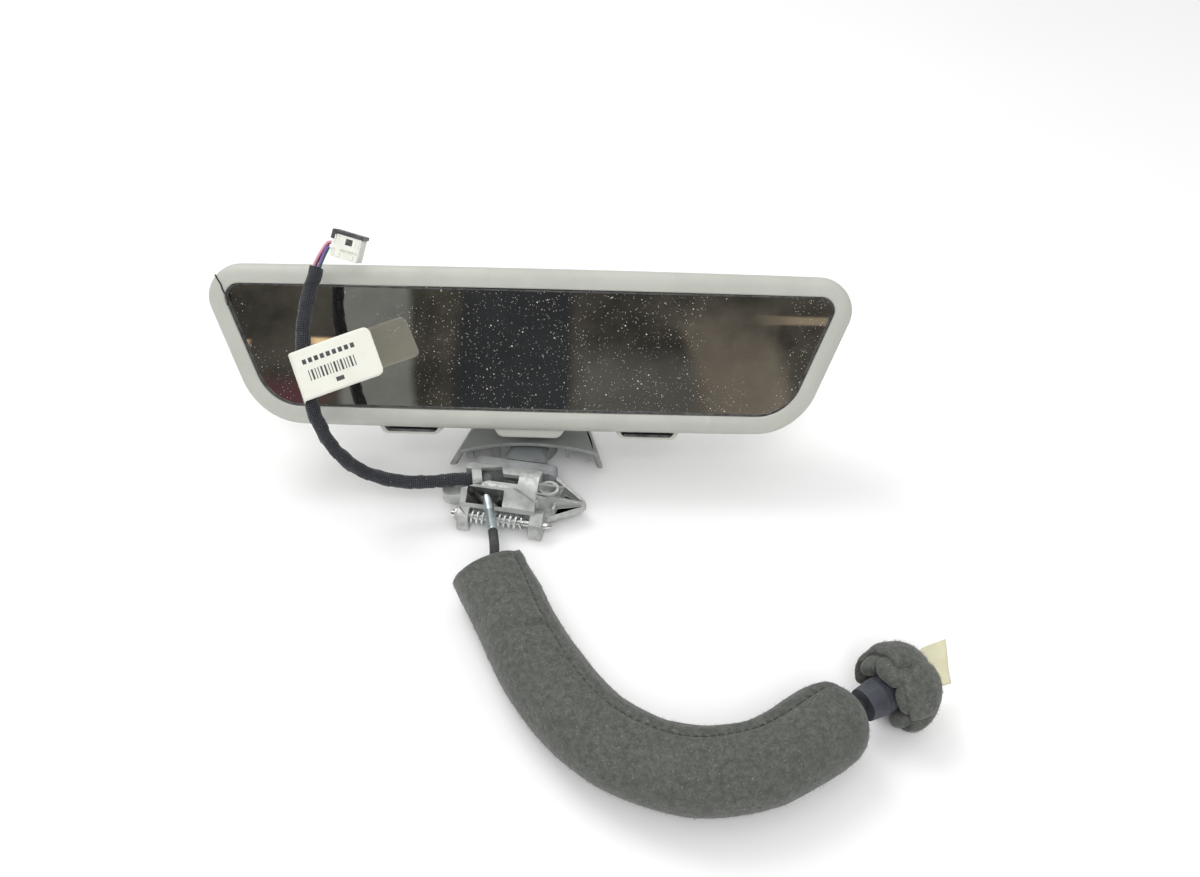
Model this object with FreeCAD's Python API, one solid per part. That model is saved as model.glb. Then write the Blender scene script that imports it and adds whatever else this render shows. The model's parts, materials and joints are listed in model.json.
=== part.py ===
"""Interior rearview mirror off the car, standing upside down on its foot as it would on a bench.

The head leans back on its ball joint, the foot's locking pin and spring face the front, one loom
rises past the glass to its connector and a second lead lies on the bench inside a felt sleeve.

Frame: millimetres, +Z up, the bench is Z = 0, +Y points away from the glass side, +X to the right.
Pieces of the head are drawn upright in a head frame (x, depth behind the face, height on the face)
and leaned back into place. Pieces of the arm are drawn in an arm frame about the stalk's axis.
"""
import os
import FreeCAD
import Part
from math import cos, pi, radians, sin, tan

V = FreeCAD.Vector

# ---- head ---------------------------------------------------------------------------------------
HEAD_LEAN = 30.0            # how far the face leans back from vertical, degrees
HEAD_EDGE_Y = -10.7         # the face's lower edge on the bench frame
HEAD_EDGE_Z = 30.8
HEAD_HEIGHT = 64.0
HEAD_HALF_TOP = 135.6       # sharp corners of the face outline, before they are rounded
HEAD_HALF_BOTTOM = 110.4
CORNER_TOP = 13.0
CORNER_BOTTOM = 26.0
BEZEL_DEPTH = 11.0
BEZEL_LIP = 1.6             # thickness of the lip that covers the glass's edge
BEZEL_BAND = 7.6            # width of the band seen from the front
BEZEL_POCKET = 5.8          # inset of the pocket that the glass drops into
GLASS_INSET = 6.1
PANE = 1.8
PANE_GAP = 0.4
GLASS_FRONT = 1.8
WALL = 2.0
HOUSING_SECTIONS = (        # depth, half top, half bottom, low, high, top radius, bottom radius
    (11.2, 134.8, 109.8, 0.6, 63.4, 12.6, 25.5),
    (22.0, 129.0, 104.0, 2.4, 61.6, 14.0, 24.0),
    (32.0, 110.0, 88.0, 7.0, 56.0, 15.0, 18.0),
    (38.0, 74.0, 58.0, 14.0, 49.0, 13.0, 12.0),
    (40.0, 50.0, 40.0, 19.0, 43.0, 9.0, 8.0),
)

# ---- ball joint ---------------------------------------------------------------------------------
BALL_DEPTH = 18.6           # ball centre in the head frame
BALL_HEIGHT = 15.0
BALL_R = 6.5
FIT = 0.06                  # radial clearance of each spherical fit
LINER_R = 7.6
CUP_R = 8.8
CAGE_R = 9.9
MOUTH = 3.2                 # how far below the ball centre each shell's mouth lies
STALK_R = 4.2
LEAD_HOLE_R = 2.2

# ---- fastener places ----------------------------------------------------------------------------
CAGE_SCREWS = ((-15.5, 12.0), (15.5, 12.0), (-15.5, 31.0), (15.5, 31.0))      # x, height on the face
BOARD_SCREWS = ((33.0, 17.0), (85.0, 22.0), (33.0, 47.0), (85.0, 47.0))
FLANGE_SCREWS = (-12.6, 14.0)           # x on the arm
SCREW_UP = 11.0

# ---- arm and foot -------------------------------------------------------------------------------
ARM_TURN = -9.0             # the arm's turn about the stalk, seen from above, degrees
FLANGE_FRONT = -34.0
FLANGE_BACK = -28.0
NECK_SECTIONS = (           # along the arm, left, right, low, high
    (-28.0, -6.5, 12.5, 4.5, 17.2),
    (-14.0, -6.0, 9.5, 3.0, 14.8),
    (0.0, -6.5, 6.5, 1.5, 12.6),
)
FOOT_BACK = -34.0
FOOT_LEFT = -19.0
FOOT_RIGHT = 12.0
FOOT_WALL = 2.2
FOOT_PROFILE = (            # outline of the foot block from the side: along the arm, up
    (-34.0, 18.6), (-38.0, 20.0), (-41.0, 20.2), (-45.6, 17.8), (-51.2, 12.2), (-51.6, 9.9),
    (-48.6, 9.9), (-47.0, 5.0), (-34.0, 5.0),
)
FOOT_CAVITY = (
    (-33.0, 16.4), (-38.0, 17.8), (-40.5, 18.0), (-44.3, 16.0), (-48.9, 11.4), (-48.0, 9.0),
    (-45.0, 4.0), (-33.0, 4.0),
)
PIN_ALONG = -52.0           # the locking pin's axis in the arm frame
PIN_UP = 6.0
PIN_R = 1.45
PIN_HOLE_R = 1.52
PIN_LEFT = -22.6
PIN_NOSE = 15.8            # where the pin steps down to its free nose
PIN_NOSE_R = 1.2
PIN_CONE = 17.4
PIN_RIGHT = 19.6
LEFT_LEG = (-19.5, -14.6)
RIGHT_LEG = (10.3, 15.6)
SPRING_WIRE = 1.1
SPRING_MEAN_R = 2.55
SPRING_TURNS = 8
COLLAR = (6.6, 7.4)
COLLAR_R = 3.0
HEEL_R = 10.5

# ---- foot cover ---------------------------------------------------------------------------------
COVER_FRONT = -6.0
COVER_BACK = 29.0
COVER_WALL = 1.6
COVER_ARCH = ((-34.4, 7.3), (-30.0, 14.6), (-2.0, 19.4), (28.5, 14.9), (30.8, 8.0))
COVER_TAIL = ((-27.0, 3.0), (-23.5, 7.4), (-2.0, 10.4), (20.5, 7.4), (23.5, 3.0))

# ---- loom and its connector ---------------------------------------------------------------------
LOOM_D = 5.2
LOOM_ROUTE = (
    (-17.6, -25.6, 17.6), (-27.0, -27.2, 17.4), (-38.8, -28.8, 17.0), (-53.0, -30.4, 18.2),
    (-65.0, -32.4, 25.2), (-72.4, -35.0, 37.0), (-76.8, -35.4, 49.6), (-80.8, -29.2, 61.6),
    (-83.2, -19.4, 71.4), (-84.0, -8.8, 80.2), (-82.6, 1.2, 88.4), (-80.6, 7.2, 93.6),
)
CONNECTOR_AT = (-69.0, 14.0, 99.4)
CONNECTOR_SIZE = (11.0, 9.0, 10.4)      # across, deep, tall
CONNECTOR_TURN = 15.0
WIRE_D = 1.0
CLIP_R = 3.8                # outer radius of the ring round the loom's exit

# ---- felt-covered lead --------------------------------------------------------------------------
LEAD_D = 3.8
LEAD_ROUTE = (
    (-15.4, -33.8, 13.2), (-13.4, -42.6, 12.6), (-11.2, -52.2, 12.0), (-9.8, -61.0, 12.2),
    (-9.2, -70.0, 13.4), (-5.6, -83.0, 14.4), (1.4, -99.6, 14.4), (13.6, -122.6, 14.4),
    (27.4, -140.6, 14.4), (44.4, -151.6, 14.4), (63.0, -156.0, 14.4), (83.4, -152.2, 14.4),
    (100.4, -140.6, 14.4), (111.8, -132.2, 14.4), (120.4, -127.8, 14.4), (128.4, -123.0, 14.4),
)
FELT_R = 14.2
FELT_ROUTE = (
    (-12.0, -71.4, 14.4), (-5.0, -84.4, 14.4), (2.4, -101.4, 14.4), (13.8, -122.6, 14.4),
    (27.4, -140.6, 14.4), (44.4, -151.6, 14.4), (63.0, -156.0, 14.4), (83.4, -152.2, 14.4),
    (100.4, -140.6, 14.4), (114.6, -130.6, 14.4),
)
SLEEVE_R = 2.15
PLUG_R = 6.4
CAP_R = 13.6


# ---- plain helpers ------------------------------------------------------------------------------
def box(x, y, z):
    """A block between two limits along each axis."""
    return Part.makeBox(x[1] - x[0], y[1] - y[0], z[1] - z[0], V(x[0], y[0], z[0]))


def rod(radius, start, end, end_radius=None):
    """A cylinder or cone frustum between two points."""
    start, end = V(*start), V(*end)
    along = end - start
    if end_radius is None:
        return Part.makeCylinder(radius, along.Length, start, along)
    return Part.makeCone(radius, end_radius, along.Length, start, along)


def prism(points, x):
    """A plate with a (y, z) outline, between two limits along X."""
    corners = [V(x[0], y, z) for y, z in points]
    face = Part.Face(Part.makePolygon(corners + corners[:1]))
    return face.extrude(V(x[1] - x[0], 0, 0))


def slab(points, z):
    """A plate with an (x, y) outline, between two heights."""
    corners = [V(x, y, z[0]) for x, y in points]
    face = Part.Face(Part.makePolygon(corners + corners[:1]))
    return face.extrude(V(0, 0, z[1] - z[0]))


def rib(start, end, thickness, floor):
    """A thin web standing on a floor, whose top edge runs from start to end."""
    start, end = V(*start), V(*end)
    side = V(end.x - start.x, end.y - start.y, 0).cross(V(0, 0, 1)).normalize() * (thickness / 2)
    corners = [V(start.x, start.y, floor), V(end.x, end.y, floor), end, start]
    face = Part.Face(Part.makePolygon([c + side for c in corners + corners[:1]]))
    return face.extrude(side * -2)


def rounded(points, radii, lift):
    """A closed wire through points with arcs of the given radii; lift turns a 2-D point into 3-D."""
    count = len(points)
    flat = [V(p[0], p[1], 0) for p in points]
    edges, starts, ends = [], [], []
    for i in range(count):
        before = (flat[i - 1] - flat[i]).normalize()
        after = (flat[(i + 1) % count] - flat[i]).normalize()
        half = before.getAngle(after) / 2
        reach = radii[i] / tan(half)
        middle = flat[i] + (before + after).normalize() * (radii[i] / sin(half) - radii[i])
        starts.append(flat[i] + before * reach)
        ends.append((middle, flat[i] + after * reach))
    for i in range(count):
        middle, end = ends[i]
        edges.append(Part.Arc(lift(starts[i]), lift(middle), lift(end)).toShape())
        edges.append(Part.LineSegment(lift(end), lift(starts[(i + 1) % count])).toShape())
    return Part.Wire(edges)


def smooth_path(points, name):
    """Straight runs joined by tangent arcs, each as large as its two runs allow."""
    points = [V(*p) for p in points]
    edges, tightest, last = [], None, points[0]
    for a, b, c in zip(points, points[1:], points[2:]):
        into, out = (b - a), (c - b)
        turn = into.getAngle(out)
        reach = 0.45 * min(into.Length, out.Length)
        radius = reach / tan(turn / 2)
        tightest = radius if tightest is None else min(tightest, radius)
        first = b - into.normalize() * reach
        second = b + out.normalize() * reach
        towards = ((first + second) * 0.5 - b).normalize()
        middle = b + towards * (radius / cos(turn / 2) - radius)
        edges.append(Part.LineSegment(last, first).toShape())
        edges.append(Part.Arc(first, middle, second).toShape())
        last = second
    edges.append(Part.LineSegment(last, points[-1]).toShape())
    wire = Part.Wire(edges)
    print(f"{name}: length {wire.Length:.1f}, tightest radius {tightest:.1f}")
    return wire


def tube(points, diameter, name):
    """A round cord along a route, with its volume compared with section times length."""
    path = smooth_path(points, name)
    start = V(*points[0])
    ring = Part.Wire([Part.makeCircle(diameter / 2, start, V(*points[1]) - start)])
    solid = path.makePipeShell([ring], True, False)
    expected = pi * (diameter / 2) ** 2 * path.Length
    print(f"{name}: volume {solid.Volume:.1f}, section x length {expected:.1f}")
    return solid


# ---- frames -------------------------------------------------------------------------------------
def on_head(shape):
    """Lean a piece of the head back into its place."""
    shape = shape.copy()
    shape.rotate(V(0, 0, 0), V(1, 0, 0), -HEAD_LEAN)
    shape.translate(V(0, HEAD_EDGE_Y, HEAD_EDGE_Z))
    return shape


def ball_centre():
    """The ball's centre in the bench frame."""
    lean = radians(HEAD_LEAN)
    return V(0, HEAD_EDGE_Y + BALL_DEPTH * cos(lean) + BALL_HEIGHT * sin(lean),
             HEAD_EDGE_Z - BALL_DEPTH * sin(lean) + BALL_HEIGHT * cos(lean))


def on_arm(shape):
    """Turn a piece of the arm about the stalk's axis into its place."""
    shape = shape.copy()
    shape.rotate(V(0, 0, 0), V(0, 0, 1), ARM_TURN)
    shape.translate(V(0, ball_centre().y, 0))
    return shape


# ---- head pieces --------------------------------------------------------------------------------
def face_outline(depth, half_top, half_bottom, low, high, top_radius, bottom_radius):
    """The face's four-cornered outline with round corners, standing at one depth."""
    points = ((-half_bottom, low), (half_bottom, low), (half_top, high), (-half_top, high))
    radii = (bottom_radius, bottom_radius, top_radius, top_radius)
    return rounded(points, radii, lambda p: V(p.x, depth, p.y))


def inset_outline(depth, inset):
    """The face outline drawn in by the same amount all round."""
    slope = (HEAD_HALF_TOP - HEAD_HALF_BOTTOM) / HEAD_HEIGHT
    side = inset * (1 + slope ** 2) ** 0.5
    return face_outline(depth, HEAD_HALF_TOP - side - slope * inset,
                        HEAD_HALF_BOTTOM - side + slope * inset, inset, HEAD_HEIGHT - inset,
                        CORNER_TOP - inset, CORNER_BOTTOM - inset)


def head_slab(depth, inset):
    """A plate of the face's shape between two depths."""
    face = Part.Face(inset_outline(depth[0], inset))
    return face.extrude(V(0, depth[1] - depth[0], 0))


def head_ring(depth, outer_inset, inner_inset):
    """A frame of the face's shape between two depths."""
    return head_slab(depth, outer_inset).cut(head_slab((depth[0] - 1, depth[1] + 1), inner_inset))


def edges_at_depth(shape, depth, inset):
    """The edges of a frame that lie at one depth and follow the outline at one inset."""
    wire = inset_outline(depth, inset)
    found = []
    for edge in shape.Edges:
        middle = edge.valueAt((edge.FirstParameter + edge.LastParameter) / 2)
        if wire.distToShape(Part.Vertex(middle))[0] < 0.01:
            found.append(edge)
    return found


def front_bezel():
    """Round-fronted frame with a lip over the glass and a pocket behind it."""
    body = head_slab((0, BEZEL_DEPTH), 0)
    body = body.makeFillet(4.6, edges_at_depth(body, 0, 0))
    body = body.makeFillet(1.2, edges_at_depth(body, BEZEL_DEPTH, 0))
    body = body.cut(head_slab((-1, BEZEL_LIP + 0.1), BEZEL_BAND))
    body = body.cut(head_slab((BEZEL_LIP, BEZEL_DEPTH + 1), BEZEL_POCKET))
    lip_edge = edges_at_depth(body, 0, BEZEL_BAND)
    return body.makeFillet(0.7, lip_edge)


def housing_loft(shrink, end_shrink):
    """The housing's smooth outer form, drawn in by shrink all round and end_shrink at the back."""
    wires = []
    for depth, top, bottom, low, high, top_radius, bottom_radius in HOUSING_SECTIONS:
        back = end_shrink if depth > HOUSING_SECTIONS[0][0] else 0
        wires.append(face_outline(depth - back, top - shrink, bottom - shrink, low + shrink,
                                  high - shrink, top_radius - shrink / 2,
                                  bottom_radius - shrink / 2))
    return Part.makeLoft(wires, True, False)


def rear_housing():
    """Convex back shell, open at the neck's slot and at the sensor's window."""
    shell = housing_loft(0, 0).cut(housing_loft(WALL, WALL))
    rim = head_slab((10.0, 12.0), 2.6)
    shell = shell.cut(rim)
    shell = shell.cut(box((-9.5, 9.5), (15.5, 44.0), (-6.0, 10.6)))
    return shell.cut(rod(4.1, (45, 28, 31), (45, 44, 31)))


def glass_carrier():
    """Backing plate behind the panes, with posts for the socket cage and the board."""
    plate = head_slab((6.4, 8.2), GLASS_INSET)
    plate = plate.cut(head_slab((7.4, 9.0), 9.5))
    for x, height in CAGE_SCREWS:
        plate = plate.fuse(rod(2.6, (x, 7.2, height), (x, 12.0, height)))
        plate = plate.cut(rod(1.2, (x, 8.6, height), (x, 12.5, height)))
    for x, height in BOARD_SCREWS:
        plate = plate.fuse(rod(2.4, (x, 7.2, height), (x, 12.4, height)))
        plate = plate.cut(rod(0.9, (x, 8.8, height), (x, 12.9, height)))
    return plate


def sphere_shell(outer, inner, mouth, centre):
    """A spherical shell open at the bottom, with a hole at the top for the lead."""
    shell = Part.makeSphere(outer, centre).cut(Part.makeSphere(inner, centre))
    below = box((-20, 20), (-20, 20), (-30, -mouth))
    below.translate(centre)
    hole = Part.makeCylinder(LEAD_HOLE_R + 1.6, 2 * CAGE_R, centre)
    return shell.cut(below).cut(hole)


def socket_cage():
    """Spherical cage on a screwed plate that holds the cup and carries the head."""
    centre = V(0, BALL_DEPTH, BALL_HEIGHT)
    plate = box((-19.0, 19.0), (12.0, 13.6), (8.0, 35.0))
    body = Part.makeSphere(CAGE_R, centre).fuse(plate)
    body = body.cut(Part.makeSphere(CUP_R + FIT, centre))
    body = on_head(body)
    below = box((-20, 20), (-30, 30), (-30, -MOUTH))
    below.translate(ball_centre())
    body = body.cut(below)
    body = body.cut(Part.makeCylinder(LEAD_HOLE_R + 1.6, 2 * CAGE_R, ball_centre()))
    for x, height in CAGE_SCREWS:
        body = body.cut(on_head(rod(1.3, (x, 11, height), (x, 15, height))))
    return body


def head_screws(places, seat, foot, head_radius, shank_radius):
    """Round-headed screws into the carrier's posts."""
    screws = []
    for x, height in places:
        shank = rod(shank_radius, (x, foot, height), (x, seat, height))
        cap = rod(head_radius, (x, seat, height), (x, seat + 1.4, height), head_radius * 0.72)
        slot = box((x - 0.35, x + 0.35), (seat + 0.9, seat + 2.0), (height - 1.4, height + 1.4))
        screws.append(on_head(shank.fuse(cap).cut(slot)))
    return Part.makeCompound(screws)


def circuit_board():
    """Dimming board with its mounting holes."""
    board = box((29.0, 89.0), (12.4, 14.0), (13.0, 51.0))
    for x, height in BOARD_SCREWS:
        board = board.cut(rod(1.1, (x, 11, height), (x, 16, height)))
    return board


def board_chips():
    """Parts soldered on the board."""
    places = ((52, 60, 24, 32, 1.8), (64, 69, 36, 41, 1.4), (72, 80, 18, 24, 2.2),
              (48, 51, 42, 46, 1.0), (74, 78, 40, 46, 1.2))
    return Part.makeCompound([on_head(box((a, b), (14.0, 14.0 + h), (c, d)))
                              for a, b, c, d, h in places])


def scoop(x):
    """Thin hood under the housing with a shadowed slot behind its rim."""
    half, deep, low = 13.8, (5.0, 15.0), -3.8
    outer = ((-half, 0.3), (-half + 2.5, low), (half - 2.5, low), (half, 0.3))
    inner = ((-half + 2.0, 1.0), (-half + 3.6, low + 0.9), (half - 3.6, low + 0.9), (half - 2.0, 1.0))
    body = hood(outer, (1.2, 3.4, 3.4, 1.2), deep)
    body = body.cut(hood(inner, (0.8, 2.2, 2.2, 0.8), (deep[0] - 1, deep[1] - 2)))
    body = body.cut(head_slab((-1, 40), -0.05))
    body.translate(V(x, 0, 0))
    return body


def hood(points, radii, depth):
    """A low rounded block under the head, between two depths."""
    face = Part.Face(rounded(points, radii, lambda p: V(p.x, depth[0], p.y)))
    return face.extrude(V(0, depth[1] - depth[0], 0))


def neck_visor():
    """Rounded lip in front of the neck's slot."""
    outer = ((-15.4, 0.3), (-12.4, -4.3), (12.4, -4.3), (15.4, 0.3))
    body = hood(outer, (1.0, 4.0, 4.0, 1.0), (4.6, 10.2))
    body = body.cut(head_slab((-1, 40), -0.05))
    return body.makeFillet(0.9, [e for e in body.Edges
                                 if abs(e.CenterOfMass.y - 4.6) < 0.01 and e.CenterOfMass.z < -1])


def snap_clips():
    """Spring clips inside the rim that hold the housing to the bezel."""
    places = ((-85, 55.6), (0, 55.6), (85, 55.6), (-68, 7.2), (68, 7.2))
    clips = []
    for x, height in places:
        leg = box((x - 4, x + 4), (8.6, 15.0), (height, height + 0.8))
        foot = box((x - 4, x + 4), (8.6, 9.6), (height - 1.0, height + 1.8))
        clips.append(on_head(leg.fuse(foot)))
    return Part.makeCompound(clips)


def bus_clips():
    """Contact strips along the panes' long edges."""
    strips = [box((-70, 70), (6.0, 6.3), (56.2, 57.6)), box((-70, 70), (6.0, 6.3), (6.5, 7.9))]
    return Part.makeCompound([on_head(s) for s in strips])


# ---- arm pieces ---------------------------------------------------------------------------------
def neck_casting():
    """Screwed flange, level bar and heel, with the stalk rising to the ball stud."""
    flange = box((-17.0, 17.0), (FLANGE_FRONT, FLANGE_BACK), (4.0, 17.6))
    flange = flange.makeFillet(2.0, [e for e in flange.Edges if abs(e.tangentAt(0).y) > 0.9])
    wires = []
    for along, left, right, low, high in NECK_SECTIONS:
        points = ((left, low), (right, low), (right, high), (left, high))
        wires.append(rounded(points, (2.5,) * 4, lambda p, a=along: V(p.x, a, p.y)))
    bar = Part.makeLoft(wires, True, True)
    heel = rod(HEEL_R, (0, 0, 0), (0, 0, 6.0)).fuse(rod(HEEL_R, (0, 0, 6.0), (0, 0, 14.0), 7.2))
    heel = heel.makeFillet(0.8, [e for e in heel.Edges if abs(e.CenterOfMass.z) < 0.01])
    stalk = rod(7.2, (0, 0, 14.0), (0, 0, 22.0), STALK_R + 0.6)
    body = flange.fuse([bar, heel, stalk]).removeSplitter()
    body = body.cut(rod(3.4, (0, 0, 15.0), (0, 0, 23.0)))
    body = body.cut(rod(LEAD_HOLE_R, (0, 0, 9.0), (0, 0, 16.0)))
    body = body.cut(rod(LEAD_HOLE_R, (0, FLANGE_FRONT - 1, 9.0), (0, 0, 9.0)))
    body = body.cut(Part.makeSphere(2.7, V(0, -1.0, 10.0)))
    for x in FLANGE_SCREWS:
        body = body.cut(rod(1.7, (x, FLANGE_FRONT - 1, SCREW_UP), (x, FLANGE_BACK + 1, SCREW_UP)))
        body = body.cut(rod(3.3, (x, FLANGE_BACK, SCREW_UP), (x, FLANGE_BACK + 3.4, SCREW_UP)))
    return on_arm(body)


def ball_stud():
    """Steel ball on a shank pressed into the stalk, bored for the lead."""
    centre = V(0, 0, ball_centre().z)
    body = Part.makeSphere(BALL_R, centre)
    body = body.fuse(rod(STALK_R, (0, 0, 22.0), (0, 0, centre.z)))
    body = body.fuse(rod(3.4, (0, 0, 16.0), (0, 0, 22.0)))
    return on_arm(body.cut(rod(LEAD_HOLE_R, (0, 0, 15.0), (0, 0, centre.z + BALL_R + 1))))


def flange_screws():
    """Two screws from behind the flange into the foot's posts."""
    screws = []
    for x in FLANGE_SCREWS:
        shank = rod(1.5, (x, -41.0, SCREW_UP), (x, FLANGE_BACK, SCREW_UP))
        cap = rod(3.0, (x, FLANGE_BACK, SCREW_UP), (x, FLANGE_BACK + 2.2, SCREW_UP), 2.4)
        slot = box((x - 0.4, x + 0.4), (FLANGE_BACK + 1.2, FLANGE_BACK + 3), (9.2, 12.8))
        screws.append(on_arm(shank.fuse(cap).cut(slot)))
    return Part.makeCompound(screws)


def leg(limits, toe):
    """A leg of the foot that carries the locking pin."""
    outline = ((-46.6, 9.4), (-50.6, 10.6), (-55.4, 8.0), (-56.0, toe + 1.2), (-54.8, toe),
               (-51.6, toe), (-48.4, 4.2))
    body = prism(outline, limits)
    return body.cut(rod(PIN_HOLE_R, (limits[0] - 1, PIN_ALONG, PIN_UP),
                        (limits[1] + 1, PIN_ALONG, PIN_UP)))


def foot_wedge():
    """Pointed lobe on the right with its ridge, web and curved pocket."""
    outline = ((11.0, -48.8), (17.0, -49.0), (29.4, -41.4), (31.0, -38.6), (29.6, -36.4),
               (16.0, -28.4), (11.0, -30.0))
    plate = slab(outline, (5.0, 8.2))
    plate = plate.makeFillet(1.0, [e for e in plate.Edges if abs(e.tangentAt(0).z) > 0.9])
    webs = [rib((11.5, -45.8, 17.4), (29.0, -39.6, 9.4), 1.6, 6.0),
            rib((13.0, -31.0, 16.8), (28.8, -37.6, 9.6), 1.5, 6.0),
            rib((11.5, -41.4, 18.8), (21.0, -35.2, 12.6), 1.4, 6.0),
            rib((18.6, -47.0, 11.0), (20.4, -34.6, 12.4), 1.3, 6.0)]
    pocket = rod(4.2, (15.6, -39.6, 6.0), (15.6, -39.6, 15.4))
    pocket = pocket.cut(rod(2.9, (15.6, -39.6, 5.0), (15.6, -39.6, 16.0)))
    return plate.fuse(webs + [pocket])


def foot_casting():
    """Hollow die-cast block with its window, top slot, lobes, legs and screw posts."""
    block = prism(FOOT_PROFILE, (FOOT_LEFT, FOOT_RIGHT))
    cavity = prism(FOOT_CAVITY, (FOOT_LEFT + FOOT_WALL, FOOT_RIGHT - FOOT_WALL))
    block = block.cut(cavity)
    block = block.cut(box((-16.0, -1.5), (-54.0, -44.0), (12.4, 16.8)))
    block = block.cut(box((-9.5, 3.6), (-43.6, -39.8), (15.0, 22.0)))
    block = block.cut(box((FOOT_LEFT - 1, -10.9), (-45.6, -39.2), (14.7, 22.0)))
    lobe = rod(4.2, (-23.2, -45.2, 8.0), (-23.2, -45.2, 13.2))
    lobe = lobe.fuse(box((-23.2, FOOT_LEFT + 1), (-49.4, -41.0), (8.0, 13.2)))
    posts = [rod(3.0, (x, -43.2, SCREW_UP), (x, FOOT_BACK, SCREW_UP)) for x in FLANGE_SCREWS]
    webs = [box((-17.5, -12.6), (-43.2, FOOT_BACK), (10.0, 12.0))]
    cheek = rib((3.0, -44.6, 18.4), (12.6, -47.8, 15.0), 2.2, 11.0)
    body = block.fuse([lobe, leg(LEFT_LEG, 0.0), leg(RIGHT_LEG, 0.0), foot_wedge(), cheek] + posts + webs)
    body = body.cut(box((-17.2, 17.2), (FLANGE_FRONT, FLANGE_BACK + 4), (3.8, 17.8)))
    for x in FLANGE_SCREWS:
        body = body.cut(rod(1.5, (x, -41.0, SCREW_UP), (x, FOOT_BACK + 1, SCREW_UP)))
    body = on_arm(body).cut([rod(CLIP_R, *loom_exit(-8.0, 9.0)), lead_channel()])
    return body.removeSplitter()


def lead_channel():
    """The straight hole that the lead's ferrule leaves through."""
    start, second = V(*LEAD_ROUTE[0]), V(*LEAD_ROUTE[1])
    along = (second - start).normalize()
    return rod(SLEEVE_R + 0.1, tuple(start - along * 3), tuple(second))


def loom_exit(start, end):
    """Two points on the line of the loom's first run, at distances from its start."""
    first, second = V(*LOOM_ROUTE[0]), V(*LOOM_ROUTE[1])
    along = (second - first).normalize()
    return tuple(first + along * start), tuple(first + along * end)


def cable_guide():
    """Black moulded insert behind the window, with level bands, fitted to the casting."""
    outline = ((-40.2, 17.2), (-43.8, 15.4), (-48.2, 11.1), (-47.4, 8.6), (-45.6, 6.4),
               (-43.6, 6.4), (-43.6, 12.0), (-39.8, 14.4))
    body = prism(outline, (-10.4, 9.4))
    left = prism(((-44.9, 14.2), (-48.2, 11.1), (-47.4, 8.6), (-45.6, 6.4), (-43.6, 6.4),
                  (-43.6, 14.2)), (-16.4, -10.4))
    body = body.fuse(left)
    for height in (11.9, 13.6):
        body = body.cut(box((-15.8, 8.8), (-49.5, -46.6), (height, height + 0.7)))
    body = on_arm(body.removeSplitter())
    return body.cut([foot_casting(), rod(CLIP_R, *loom_exit(-8.0, 9.0)), lead_channel()])


def loom_clip():
    """Ring round the loom where it leaves the foot."""
    start, end = loom_exit(0.4, 4.4)
    return rod(CLIP_R, start, end).cut(rod(LOOM_D / 2 + 0.12, *loom_exit(-1.0, 6.0)))


def locking_pin():
    """Sprung pin through both legs, with a free pointed nose and a collar for the spring."""
    places = [(x, PIN_ALONG, PIN_UP) for x in (PIN_LEFT, PIN_NOSE, PIN_CONE, PIN_RIGHT)]
    body = rod(PIN_R, places[0], places[1])
    body = body.fuse(rod(PIN_NOSE_R, places[1], places[2]))
    body = body.fuse(rod(PIN_NOSE_R, places[2], places[3], 0.35))
    collar = rod(COLLAR_R, (COLLAR[0], PIN_ALONG, PIN_UP), (COLLAR[1], PIN_ALONG, PIN_UP))
    return on_arm(body.fuse(collar).removeSplitter())


def retaining_ring():
    """E-shaped ring that stops the pin against the left leg."""
    x = LEFT_LEG[0] - 0.9
    ring = rod(2.9, (x, PIN_ALONG, PIN_UP), (x + 0.8, PIN_ALONG, PIN_UP))
    ring = ring.cut(rod(PIN_R, (x - 1, PIN_ALONG, PIN_UP), (x + 2, PIN_ALONG, PIN_UP)))
    gap = box((x - 1, x + 2), (PIN_ALONG - 4, PIN_ALONG), (PIN_UP - 0.9, PIN_UP + 0.9))
    return on_arm(ring.cut(gap))


def latch_spring():
    """Open coil spring between the left leg and the pin's collar."""
    length = COLLAR[0] - LEFT_LEG[1] - SPRING_WIRE - 0.1
    pitch = length / SPRING_TURNS
    helix = Part.makeHelix(pitch, length, SPRING_MEAN_R)
    start = V(SPRING_MEAN_R, 0, 0)
    along = V(0, 2 * pi * SPRING_MEAN_R, pitch)
    ring = Part.Wire([Part.makeCircle(SPRING_WIRE / 2, start, along)])
    coil = Part.Wire(helix).makePipeShell([ring], True, True)
    coil.rotate(V(0, 0, 0), V(0, 1, 0), 90)
    coil.translate(V(LEFT_LEG[1] + SPRING_WIRE / 2 + 0.05, PIN_ALONG, PIN_UP))
    return on_arm(coil)


def neck_lead():
    """Lead inside the bar and the stalk, from the foot to the ball's mouth."""
    top = ball_centre().z + BALL_R - 1.0
    level = rod(1.6, (0, FLANGE_FRONT + 0.5, 9.0), (0, -3.0, 9.0))
    upright = rod(1.6, (0, 0, 12.0), (0, 0, top))
    knee = Part.makeTorus(3.0, 1.6, V(0, -3.0, 12.0), V(1, 0, 0))
    knee = knee.common(box((-5, 5), (-3.0, 5.0), (5.0, 12.0)))
    return on_arm(level.fuse([knee, upright]))


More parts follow.
